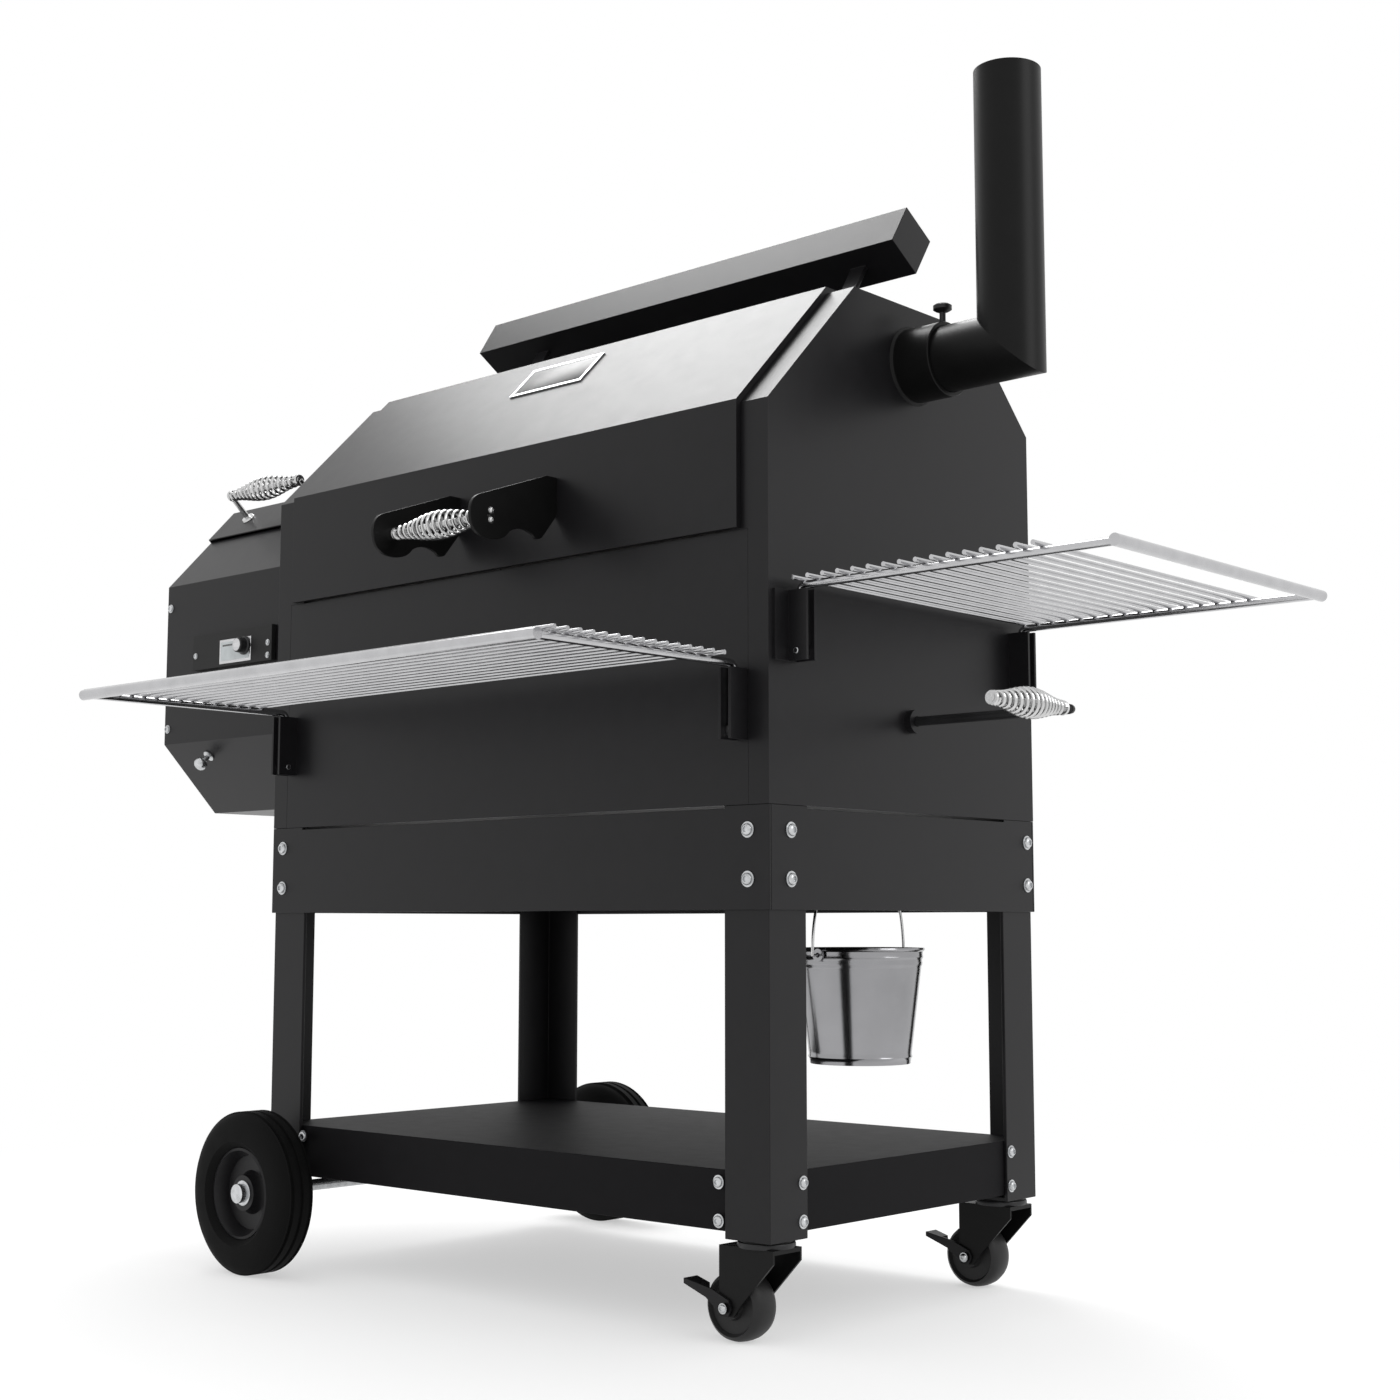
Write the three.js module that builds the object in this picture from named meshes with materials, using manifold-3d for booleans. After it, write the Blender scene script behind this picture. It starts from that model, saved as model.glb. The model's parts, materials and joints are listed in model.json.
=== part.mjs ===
// Pellet smoker grill on a wheeled cart, as an assembly of separate pieces.
// Millimetres, +Z up. The front faces -Y, the pellet hopper hangs at the -X end and the
// chimney stands at the +X end. The finished group has its origin at the centre of its
// footprint, on the floor.
import * as THREE from "three";
import { mergeVertices } from "three/addons/utils/BufferGeometryUtils.js";
import Module from "manifold-3d";

const wasm = await Module();
wasm.setup();

// ---------------------------------------------------------------- driving sizes
const fit = 0.3; // gap between two pieces that touch
const running = 0.6; // gap between a piece that turns or slides and what carries it
const sheet = 3.5; // chamber, apron and tray plate

// cart
const bodyLength = 940;
const bodyDepth = 560;
const wheelRadius = 111;
const axleRadius = 8;
const legFoot = wheelRadius + axleRadius + fit; // underside of the legs
const legFlange = 68;
const legWall = 5;
const footPlate = 5;
const apronBottom = 496;
const apronHeight = 122;
const apronRelief = 3; // the apron's top edge is lower between the legs
const bodyBottom = apronBottom + apronHeight;
const trayTop = 197;
const trayDrop = 70;

// large wheels at the hopper end
const tyreWidth = 60;
const tyreBore = 62;
const wheelStandOff = 38; // from the cart's face to the tyre
const axleFromEnd = 64;
const hubRadius = 24;
const axleNutRadius = 13;
const axleNutLength = 9;

// swivel casters at the chimney end
const casterRadius = 41;
const casterWidth = 42;
const casterTrail = 38;
const casterInset = 37; // stem centre from the cart's two faces
const raceRadius = 31;
const raceHeight = 9;
const forkPlate = 3;
const forkTopHeight = 4;
const casterBolt = 5;
const pedalReach = 64;
const pedalWidth = 24;

// chamber outline
const frontCrease = 1098;
const roofTop = 1272;
const frontSlopeRun = 170;
const rearSlopeRun = 122;
const edgeStrip = 60; // folded strip of each end plate that the door rests on
const panelStrip = 31; // how much of that strip shows beside the lower front panel
const sillDepth = 26;
const ledgeDepth = 22;
const ledgeBelowSill = 92;

// door
const doorBottom = 946;
const doorEndMargin = 42; // from each end of the chamber to the door
const doorProud = 8;
const doorSheet = 3.5;
const doorRim = doorProud - fit; // the door's folded edge reaches its seat
const hingeRadius = 5;
const hingeLug = 11;
const hingeLugThickness = 8;
const hingeLift = 12; // hinge axis above the roof line
const hingeSpacing = 330;
const hingeBack = 5; // hinge axis behind the rear end of the flat roof

// door handle
const handleSpan = 186; // between the two bracket plates' centres
const handleCentre = 29; // right of the chamber's middle
const handlePlate = 5;
const handleReach = 148;
const handleAxisOut = 114; // grip axis from the door's face
const handleAxisUp = 38; // grip axis above the door's lower edge
const gripEndRadius = 9;
const gripBellyRadius = 19;
const gripRod = 5;

// counterweight bar over the door
const weightSide = 63.5;
const weightLength = 810;
const weightTilt = 57.7; // turn of the square bar about its length, degrees
const weightShift = 20; // right of the chamber's middle
const weightBehindFront = 357;
const weightAboveRoof = 118;
const armWidth = 25;
const armThickness = 6;
const armSpacing = 615;
const armShift = 42;

// badge plate on the door's slope, left bare
const badgeWidth = 140;
const badgeHeight = 68;
const badgeThickness = 2;
const badgeShift = -12;
const badgeUpSlope = 188; // centre of the plate up the slope from the front crease

// chimney
const stackRadius = 42.5;
const stackWall = 3;
const stackOut = 150; // pipe centre from the end plate
const stackTop = 1549;
const stackAxisHeight = 1195;
const stackBehindFront = 294;
const collarLength = 56;
const collarWall = 5;
const screwRadius = 4;
const screwHead = 12;
const screwNeck = 14;

// hopper
const hopperWidth = 318;
const hopperSheet = 2.5;
const hopperSetback = 21; // hopper front behind the chamber front
const hopperBack = 480;
const hopperFloor = 657;
const hopperLowCrease = 761;
const hopperHighCrease = 1012;
const hopperLowRun = 98;
const hopperTop = 1146;
const hopperHighRun = 124;
const lidLine = 1096; // height of the lid's front edge
const lidProud = 3;
const lidSheet = 2.5;
const lidSkirt = 18;

// controller
const controllerWidth = 202;
const controllerHeight = 54;
const controllerThickness = 8;
const controllerCentreHeight = 898;
const controllerCentreOut = 134; // from the chamber's end plate
const knobRadius = 12;
const knobLength = 16;
const knobOut = 98;

// inside the chamber
const augerHeight = 700;
const augerRadius = 17;
const augerTubeRadius = 23;
const augerTubeWall = 2.5;
const potOut = 190; // fire pot centre inside the left end plate
const potRadius = 62;
const potHeight = 104;
const potWall = 3;
const diffuserHeight = 790;
const grateBar = 8;
const gratePitch = 24;
const slideHeight = 733; // damper rod's height
const slideRod = 6;
const slideOut = 232;
const slideTravel = 150; // pushed in, its plate covers the vent over the fire pot
const slidePlate = 80; // half the plate's length

// folding shelves
const shelfBar = 5; // radius of the shelf's carrying bars
const shelfWire = 3.5;
const shelfTube = 7;
const shelfSink = 1.2; // how far the wires are welded into the bars
const frontShelfHeight = 783;
const frontShelfDepth = 345;
const frontShelfInset = 36; // carrying bars from the chamber's two ends
const frontShelfFirst = 56;
const frontShelfPitch = 19.4;
const frontShelfWires = 15;
const sideShelfHeight = 876;
const sideShelfDepth = 445;
const sideShelfInset = 48;
const sideShelfFirst = 18;
const sideShelfPitch = 21.9;
const sideShelfWires = 16;
const wireOverhang = 25;
const bracketDrop = 84;
const bracketWidth = 40;
const bracketOut = 30;
const bracketPlate = 4;
const pivotBolt = 4;
const pivotOut = 14; // pivot bolt from the chamber's face

// grease bucket
const bucketRim = 84;
const bucketBase = 64;
const bucketHeight = 146;
const bucketWall = 1.5;
const bucketTop = 450;
const bucketOut = 96; // from the chimney end of the cart
const bucketBehindFront = 295;
const earDrop = 9; // bail's pivots below the rim
const bailWire = 2.2;
const bailTop = 590;
const hookWire = 3;

// ---------------------------------------------------------------- places
const right = bodyLength / 2;
const left = -right;
const front = -bodyDepth / 2;
const back = bodyDepth / 2;
const roofBack = back - rearSlopeRun;
const rearCrease = roofTop - rearSlopeRun;
const hingeY = roofBack + hingeBack;
const hingeZ = roofTop + hingeLift;
const middleY = front + stackBehindFront;
const trayBottom = trayTop - trayDrop;

// ---------------------------------------------------------------- finishes
const finish = (color, roughness, metalness) =>
  new THREE.MeshStandardMaterial({ color, roughness, metalness });
const blackPaint = () => finish(0x2b2a2c, 0.5, 0.2);
const innerPaint = () => finish(0x232224, 0.6, 0.2);
const stainless = () => finish(0xb9bbbd, 0.3, 1.0);
const zinc = () => finish(0x8f9294, 0.4, 1.0);
const rubber = () => finish(0x1b1b1c, 0.9, 0.0);
const casterGrey = () => finish(0x3a383b, 0.7, 0.0);
const rawSteel = () => finish(0x6b6a68, 0.5, 0.9);

// ---------------------------------------------------------------- making solids
// A closed geometry with only positions, its shared corners merged and its faces out.
function clean(geometry) {
  const g = geometry.clone();
  for (const name of Object.keys(g.attributes)) {
    if (name !== "position") g.deleteAttribute(name);
  }
  const merged = mergeVertices(g, 1e-3);
  const p = merged.attributes.position;
  const index = Array.from(merged.index.array);
  const kept = [];
  let volume = 0;
  const a = new THREE.Vector3();
  const b = new THREE.Vector3();
  const c = new THREE.Vector3();
  for (let i = 0; i < index.length; i += 3) {
    const [u, v, w] = index.slice(i, i + 3);
    if (u === v || v === w || u === w) continue;
    kept.push(u, v, w);
    a.fromBufferAttribute(p, u);
    b.fromBufferAttribute(p, v);
    c.fromBufferAttribute(p, w);
    volume += a.dot(b.cross(c));
  }
  merged.setIndex(volume < 0 ? kept.reverse() : kept);
  return merged;
}

function solid(geometry) {
  const g = clean(geometry);
  return new wasm.Manifold(
    new wasm.Mesh({
      numProp: 3,
      vertProperties: Float32Array.from(g.attributes.position.array),
      triVerts: Uint32Array.from(g.index.array),
    })
  );
}

function geometryOf(manifold) {
  const mesh = manifold.getMesh();
  const g = new THREE.BufferGeometry();
  const positions = Float32Array.from(mesh.vertProperties);
  g.setAttribute("position", new THREE.BufferAttribute(positions, 3));
  g.setIndex(new THREE.BufferAttribute(Uint32Array.from(mesh.triVerts), 1));
  return g;
}

const join = (...geometries) =>
  geometryOf(geometries.map(solid).reduce((sum, next) => sum.add(next)));
const cut = (geometry, ...tools) =>
  geometryOf(tools.map(solid).reduce((rest, tool) => rest.subtract(tool), solid(geometry)));

function box(x0, x1, y0, y1, z0, z1) {
  const g = new THREE.BoxGeometry(x1 - x0, y1 - y0, z1 - z0);
  return g.translate((x0 + x1) / 2, (y0 + y1) / 2, (z0 + z1) / 2);
}

// An outline of [u, v] points pushed along the third axis.
function prism(outline, from, to, holes = []) {
  let corners = outline instanceof THREE.Shape
    ? outline.getPoints(8)
    : outline.map(([u, v]) => new THREE.Vector2(u, v));
  if (THREE.ShapeUtils.isClockWise(corners)) corners = corners.slice().reverse();
  const shape = new THREE.Shape(corners);
  for (const hole of holes) shape.holes.push(hole);
  const settings = { depth: to - from, bevelEnabled: false, steps: 1, curveSegments: 12 };
  return new THREE.ExtrudeGeometry(shape, settings).translate(0, 0, from);
}
const turned = (geometry, xAxis, yAxis, zAxis) =>
  geometry.applyMatrix4(new THREE.Matrix4().makeBasis(xAxis, yAxis, zAxis));
const X = new THREE.Vector3(1, 0, 0);
const Y = new THREE.Vector3(0, 1, 0);
const Z = new THREE.Vector3(0, 0, 1);
// outline in (y, z), pushed along x
const prismX = (outline, x0, x1, holes) => turned(prism(outline, x0, x1, holes), Y, Z, X);
// outline in (x, z), pushed along y
const prismY = (outline, y0, y1, holes) =>
  turned(prism(outline, -y1, -y0, holes), X, Z, Y.clone().negate());
// outline in (x, y), pushed along z
const prismZ = (outline, z0, z1, holes) => prism(outline, z0, z1, holes);

function circleHole(u, v, radius, sides = 24) {
  const points = [];
  for (let i = 0; i < sides; i += 1) {
    const angle = (-2 * Math.PI * i) / sides;
    points.push(new THREE.Vector2(u + radius * Math.cos(angle), v + radius * Math.sin(angle)));
  }
  return new THREE.Path(points);
}

// A round bar between two points.
function rod(from, to, radius, sides = 12) {
  const a = new THREE.Vector3(...from);
  const b = new THREE.Vector3(...to);
  const along = b.clone().sub(a);
  const g = new THREE.CylinderGeometry(radius, radius, along.length(), sides);
  g.applyQuaternion(new THREE.Quaternion().setFromUnitVectors(Y, along.clone().normalize()));
  const middle = a.add(b).multiplyScalar(0.5);
  return g.translate(middle.x, middle.y, middle.z);
}

const ball = (at, radius, sides = 10) =>
  new THREE.SphereGeometry(radius, sides, Math.ceil(sides / 2)).translate(...at);

// A round bar bent through a list of points, its segments mitred where they meet.
function bentRod(points, radius, sides = 8) {
  const path = points.map((point) => new THREE.Vector3(...point));
  const ways = path.slice(1).map((point, i) => point.clone().sub(path[i]).normalize());
  const turn = new THREE.Quaternion().setFromUnitVectors(Z, ways[0]);
  const rows = [];
  for (let k = 0; k < sides; k += 1) {
    const angle = (2 * Math.PI * (k + 0.5)) / sides;
    const spoke = new THREE.Vector3(Math.cos(angle) * radius, Math.sin(angle) * radius, 0);
    rows.push(spoke.applyQuaternion(turn).add(path[0]));
  }
  const index = [];
  for (let i = 1; i < path.length; i += 1) {
    const way = ways[i - 1];
    const plane = way.clone().add(ways[Math.min(i, ways.length - 1)]).normalize();
    for (let k = 0; k < sides; k += 1) {
      const from = rows[(i - 1) * sides + k];
      const gap = path[i].clone().sub(from).dot(plane) / way.dot(plane);
      rows.push(from.clone().addScaledVector(way, gap));
      const [a, b] = [(i - 1) * sides + k, (i - 1) * sides + ((k + 1) % sides)];
      index.push(a, b, a + sides, b, b + sides, a + sides);
    }
  }
  const last = (path.length - 1) * sides;
  for (let k = 1; k < sides - 1; k += 1) {
    index.push(0, k + 1, k, last, last + k, last + k + 1);
  }
  const g = new THREE.BufferGeometry().setFromPoints(rows);
  g.setIndex(index);
  return g;
}

// A [radius, height] profile turned about an axis through the origin.
function turnedRing(profile, axis, segments = 32) {
  const points = profile.map(([radius, height]) => new THREE.Vector2(radius, height));
  const g = new THREE.LatheGeometry(points, segments);
  if (axis === "z") return g.rotateX(Math.PI / 2);
  if (axis === "x") return g.rotateZ(-Math.PI / 2);
  return g;
}

// A polyline moved sideways by a distance, its corners mitred. Positive moves it to the
// left of the direction of travel.
function offsetLine(points, distance) {
  const normals = points.slice(1).map(([u, v], i) => {
    const du = u - points[i][0];
    const dv = v - points[i][1];
    const length = Math.hypot(du, dv);
    return [-dv / length, du / length];
  });
  return points.map(([u, v], i) => {
    const before = normals[Math.max(i - 1, 0)];
    const after = normals[Math.min(i, normals.length - 1)];
    const scale = distance / (1 + before[0] * after[0] + before[1] * after[1]);
    return [u + (before[0] + after[0]) * scale, v + (before[1] + after[1]) * scale];
  });
}
// The outline of a folded sheet that follows a polyline between two offsets.
const foldedOutline = (points, outer, inner) => [
  ...offsetLine(points, outer),
  ...offsetLine(points, inner).reverse(),
];

const grill = new THREE.Group();
function add(name, geometry, material) {
  const mesh = new THREE.Mesh(clean(geometry), material);
  mesh.name = name;
  grill.add(mesh);
  return mesh;
}

// ---------------------------------------------------------------- cart frame
// Each leg is an angle section with its corner outermost, just inside the aprons.
function leg(sideX, sideY, hasFootPlate) {
  const x = sideX * (right - sheet - fit);
  const y = sideY * (back - sheet - fit);
  const alongX = (from, to) => [Math.min(x - sideX * from, x - sideX * to),
    Math.max(x - sideX * from, x - sideX * to)];
  const alongY = (from, to) => [Math.min(y - sideY * from, y - sideY * to),
    Math.max(y - sideY * from, y - sideY * to)];
  const top = bodyBottom - fit;
  const faces = [
    box(...alongX(0, legFlange), ...alongY(0, legWall), legFoot, top),
    box(...alongX(0, legWall), ...alongY(0, legFlange), legFoot, top),
  ];
  if (hasFootPlate) {
    const width = legFlange - 2;
    faces.push(box(...alongX(0, width), ...alongY(0, width), legFoot, legFoot + footPlate));
  }
  return join(...faces);
}
add("leg_front_left", leg(-1, -1, false), blackPaint());
add("leg_rear_left", leg(-1, 1, false), blackPaint());
add("leg_front_right", leg(1, -1, true), blackPaint());
add("leg_rear_right", leg(1, 1, true), blackPaint());

// Aprons: tall flat rails outside the legs. The top edge is relieved between the legs.
function apronOutline(from, to) {
  const top = bodyBottom - fit;
  const low = top - apronRelief;
  const shoulder = legFlange;
  return [
    [from, apronBottom], [to, apronBottom], [to, top], [to - shoulder, top],
    [to - shoulder, low], [from + shoulder, low], [from + shoulder, top], [from, top],
  ];
}
const endApron = apronOutline(front + sheet + fit, back - sheet - fit);
add("apron_front", prismY(apronOutline(left, right), front, front + sheet), blackPaint());
add("apron_rear", prismY(apronOutline(left, right), back - sheet, back), blackPaint());
add("apron_left", prismX(endApron, left, left + sheet), blackPaint());
add("apron_right", prismX(endApron, right - sheet, right), blackPaint());

// Lower shelf: a plate with its four edges folded down, bolted inside the legs.
function shelfTray() {
  const inset = sheet + legWall + 2 * fit;
  const [x0, x1, y0, y1] = [left + inset, right - inset, front + inset, back - inset];
  const inside = box(x0 + sheet, x1 - sheet, y0 + sheet, y1 - sheet, trayBottom - 1, trayTop - sheet);
  return cut(box(x0, x1, y0, y1, trayBottom, trayTop), inside);
}
add("shelf_tray", shelfTray(), blackPaint());

// ---------------------------------------------------------------- large wheels
const axleX = left + axleFromEnd;
const tyreInner = bodyDepth / 2 + wheelStandOff;
const tyreOuter = tyreInner + tyreWidth;

function axle() {
  const rimFace = tyreOuter - 12;
  const end = rimFace + fit + axleNutLength;
  const parts = [rod([axleX, -end, wheelRadius], [axleX, end, wheelRadius], axleRadius, 20)];
  for (const side of [-1, 1]) {
    const nutFrom = side * (rimFace + fit);
    const nutTo = side * end;
    parts.push(rod([axleX, nutFrom, wheelRadius], [axleX, nutTo, wheelRadius], axleNutRadius, 20));
    const collarFrom = side * (tyreInner + 2 - fit);
    const collarTo = side * (tyreInner - 10);
    parts.push(rod([axleX, collarFrom, wheelRadius], [axleX, collarTo, wheelRadius], 14, 20));
  }
  return join(...parts);
}
add("wheel_axle", axle(), zinc());

// Tyre: a ring with rounded shoulders. Rim: a dished disc with a hub, bored for the axle.
function tyre() {
  const half = tyreWidth / 2;
  const shoulder = 14;
  const profile = [[tyreBore, -half + 6], [tyreBore + 10, -half], [wheelRadius - shoulder - 8, -half]];
  const steps = 3;
  for (let i = 0; i <= steps; i += 1) {
    const t = (Math.PI / 2) * (i / steps);
    const radius = wheelRadius - shoulder + shoulder * Math.sin(t);
    profile.push([radius, -half + shoulder * (1 - Math.cos(t))]);
  }
  const mirrored = profile.map(([radius, height]) => [radius, -height]).reverse();
  return turnedRing([...profile, ...mirrored, profile[0]], "y", 36);
}

function rim() {
  const half = tyreWidth / 2;
  const bore = axleRadius + running;
  const outer = tyreBore - fit;
  const profile = [
    [bore, -half + 12], [hubRadius, -half + 12], [hubRadius, -6], [outer - 8, -6],
    [outer - 6, -half + 8], [outer, -half + 6], [outer, half - 6], [outer - 6, half - 8],
    [outer - 8, -1], [hubRadius, -1], [hubRadius, half - 2], [bore, half - 2], [bore, -half + 12],
  ];
  return turnedRing(profile, "y", 28);
}
for (const [name, side] of [["front", -1], ["rear", 1]]) {
  const centre = side * (tyreInner + tyreWidth / 2);
  const tyreMesh = add(`tyre_${name}`, tyre(), rubber());
  const rimMesh = add(`rim_${name}`, rim(), blackPaint());
  for (const mesh of [tyreMesh, rimMesh]) {
    mesh.position.set(axleX, centre, wheelRadius);
    mesh.rotation.z = side > 0 ? Math.PI : 0;
  }
}

// ---------------------------------------------------------------- casters
// Each caster is drawn about its stem, with its wheel trailing towards -X.
function casterFork() {
  const top = legFoot - fit;
  const raceBottom = top - raceHeight;
  const inner = casterWidth / 2 + 2;
  const outer = inner + forkPlate;
  const cheek = [
    [-casterTrail - 12, raceBottom], [raceRadius, raceBottom], [raceRadius, raceBottom - 14],
    [-casterTrail + 22, casterRadius + 6], [-casterTrail + 10, casterRadius - 10],
    [-casterTrail - 10, casterRadius - 10], [-casterTrail - 12, casterRadius + 20],
  ];
  const bolt = outer + forkPlate + 2 * running + 3;
  return join(
    rod([0, 0, raceBottom], [0, 0, top], raceRadius, 24),
    box(-casterTrail - 12, raceRadius, -outer, outer, raceBottom - forkTopHeight, raceBottom + 1),
    prismY(cheek, -outer, -inner),
    prismY(cheek, inner, outer),
    rod([-casterTrail, -bolt, casterRadius], [-casterTrail, bolt, casterRadius], casterBolt, 12)
  );
}

function casterWheel() {
  const half = casterWidth / 2;
  const bore = casterBolt + running;
  const hub = 15;
  const profile = [
    [bore, -half], [hub, -half], [hub + 2, -half + 4], [casterRadius - 9, -half + 4],
    [casterRadius - 7, -half + 1], [casterRadius - 3, -half + 3], [casterRadius, -half + 9],
    [casterRadius, half - 9], [casterRadius - 3, half - 3], [casterRadius - 7, half - 1],
    [casterRadius - 9, half - 4], [hub + 2, half - 4], [hub, half], [bore, half], [bore, -half],
  ];
  return turnedRing(profile, "y", 24);
}

// Brake pedal: an arm on the bolt outside one cheek, and a tread plate behind the wheel.
function brakePedal() {
  const inner = casterWidth / 2 + 2 + forkPlate + running;
  const outer = inner + forkPlate;
  const arm = [[5, -9], [9, 0], [5, 9], [-20, 19], [-pedalReach, 27], [-pedalReach, 21],
    [-30, 9], [-9, -6]];
  const tread = [[-pedalReach, 21], [-44, 15], [-44, 21], [-pedalReach, 27]];
  return join(
    prismY(arm, -outer, -inner, [circleHole(0, 0, casterBolt + running)]),
    prismY(tread, -outer, pedalWidth - outer)
  );
}
for (const [name, side] of [["front", -1], ["rear", 1]]) {
  const stem = [right - casterInset, side * (back - casterInset), 0];
  add(`caster_fork_${name}`, casterFork(), zinc()).position.set(...stem);
  const hub = [stem[0] - casterTrail, stem[1], casterRadius];
  add(`caster_wheel_${name}`, casterWheel(), casterGrey()).position.set(...hub);
  add(`brake_pedal_${name}`, brakePedal(), blackPaint()).position.set(...hub);
}

// ---------------------------------------------------------------- chamber
const openingLine = [
  [front, bodyBottom], [front, frontCrease], [front + frontSlopeRun, roofTop], [roofBack, roofTop],
];
const chamberOutline = [...openingLine, [back, rearCrease], [back, bodyBottom]];
const rearLine = [[back, bodyBottom], [back, rearCrease], [roofBack, roofTop]];
const sillTop = doorBottom - 2;
const ledgeTop = sillTop - ledgeBelowSill;

// End plate: the chamber's outline, with a strip folded inwards round the door opening.
function endPlate(side, holes, extras) {
  const x = side * right;
  const inward = (width) => [Math.min(x, x - side * width), Math.max(x, x - side * width)];
  const step = sillTop + fit;
  const lower = [[front, bodyBottom], [front, step]];
  const upper = [[front, step], ...openingLine.slice(1, 3), [roofBack - sheet - 1, roofTop]];
  return join(
    prismX(chamberOutline, ...inward(sheet), holes),
    prismX(foldedOutline(lower, 0, -sheet), ...inward(panelStrip)),
    prismX(foldedOutline(upper, 0, -sheet), ...inward(edgeStrip)),
    ...extras
  );
}

// Shelf bracket: an angle welded to the plate, bored for the shelf's pivot bolt.
function sideBracket(side) {
  const centre = side * (back - sideShelfInset);
  const inner = centre - side * bracketPlate;
  const outer = centre + side * bracketWidth;
  const [y0, y1] = [Math.min(inner, outer), Math.max(inner, outer)];
  const top = sideShelfHeight - shelfBar - running;
  const bottom = top - bracketDrop;
  const webs = [Math.min(inner, centre)];
  const clear = 2 * (shelfBar + running);
  webs.push(side < 0 ? centre - clear - bracketPlate : centre + clear);
  return [
    box(right - 1, right + bracketPlate, y0, y1, bottom, top),
    ...webs.map((y) => box(right - 1, right + bracketOut, y, y + bracketPlate, bottom, top)),
  ];
}

const slideHole = circleHole(middleY - 14, slideHeight, slideRod + running);
const stackHole = circleHole(middleY, stackAxisHeight, stackRadius - stackWall);
const slideBoss = cut(
  rod([right - 1, middleY - 14, slideHeight], [right + 10, middleY - 14, slideHeight], 15, 24),
  rod([right - 3, middleY - 14, slideHeight], [right + 12, middleY - 14, slideHeight],
    slideRod + running, 24)
);
add(
  "end_plate_right",
  endPlate(1, [slideHole, stackHole], [...sideBracket(-1), ...sideBracket(1), slideBoss]),
  blackPaint()
);
const augerHole = circleHole(middleY, augerHeight, augerTubeRadius + fit);
add("end_plate_left", endPlate(-1, [augerHole], []), blackPaint());

// Lower front panel between the strips, with a sill for the grates and a ledge for the
// drip tray. Its two shelf brackets are welded on.
function frontBracket(side) {
  const centre = side * (right - frontShelfInset);
  const clear = 2 * (shelfBar + running);
  const edges = [centre + side * bracketPlate, centre - side * (clear + bracketPlate)];
  const [x0, x1] = [Math.min(...edges), Math.max(...edges)];
  const top = frontShelfHeight - shelfBar - running;
  const bottom = top - bracketDrop;
  const face = front - fit;
  const web = (x, y1) => box(x, x + bracketPlate, face - bracketOut, y1, bottom, top);
  const [outerWeb, innerWeb] = side > 0 ? [x1 - bracketPlate, x0] : [x0, x1 - bracketPlate];
  return [
    box(x0, x1, face - bracketPlate, face, bottom, top),
    web(outerWeb, face),
    web(innerWeb, front + 1),
  ];
}

function frontPanel() {
  const half = right - panelStrip - fit;
  const outline = [
    [front, bodyBottom], [front, sillTop], [front + sillDepth, sillTop],
    [front + sillDepth, sillTop - sheet], [front + sheet, sillTop - sheet],
    [front + sheet, ledgeTop], [front + ledgeDepth, ledgeTop],
    [front + ledgeDepth, ledgeTop - sheet], [front + sheet, ledgeTop - sheet],
    [front + sheet, bodyBottom],
  ];
  return join(prismX(outline, -half, half), ...frontBracket(-1), ...frontBracket(1));
}
add("front_panel", frontPanel(), blackPaint());

// Rear panel: vertical back and rear slope, with the same sill and ledge inside, and the
// fixed lugs of the door hinge on its top edge.
function hingeEye(x, width, points) {
  const plate = prismX(points, x - width / 2, x + width / 2);
  const knuckle = rod([x - width / 2, hingeY, hingeZ], [x + width / 2, hingeY, hingeZ], hingeLug, 20);
  const bore = rod([x - width, hingeY, hingeZ], [x + width, hingeY, hingeZ], hingeRadius + fit, 16);
  return cut(join(plate, knuckle), bore);
}
const hingeStations = [-hingeSpacing, 0, hingeSpacing];

function rearPanel() {
  const half = right - sheet - fit;
  const inner = offsetLine(rearLine, sheet);
  const wall = [...rearLine, ...inner.reverse()];
  const plates = [
    prismX(wall, -half, half),
    box(-half, half, back - sillDepth, back - 1, sillTop - sheet, sillTop),
    box(-half, half, back - ledgeDepth, back - 1, ledgeTop - sheet, ledgeTop),
  ];
  for (const x of hingeStations) {
    for (const step of [-1, 1]) {
      const foot = [
        [hingeY - 4, hingeZ], [hingeY + hingeLug, hingeZ], [roofBack + 22, roofTop - 22 - 1],
        [roofBack + 6, roofTop - 6 - 1],
      ];
      const place = x + step * (hingeLugThickness + running);
      plates.push(hingeEye(place, hingeLugThickness, foot));
    }
  }
  return join(...plates);
}
add("rear_panel", rearPanel(), blackPaint());

// Floor of the chamber: a plate with a drain hole over the bucket.
const bucketX = right - bucketOut;
const bucketY = front + bucketBehindFront;
const drainRadius = 13;
const drainX = bucketX - 38;
function floorPanel() {
  const [x0, x1] = [left + sheet + fit, right - sheet - fit];
  const [y0, y1] = [front + sheet + fit, back - sheet - fit];
  const corners = [[x0, y0], [x1, y0], [x1, y1], [x0, y1]];
  return prismZ(corners, bodyBottom, bodyBottom + sheet, [circleHole(drainX, bucketY, drainRadius)]);
}
add("floor_panel", floorPanel(), innerPaint());

// ---------------------------------------------------------------- door
const doorLine = [
  [front, doorBottom], [front, frontCrease], [front + frontSlopeRun, roofTop],
  [roofBack - 6, roofTop],
];
const doorHalf = right - doorEndMargin;

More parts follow.
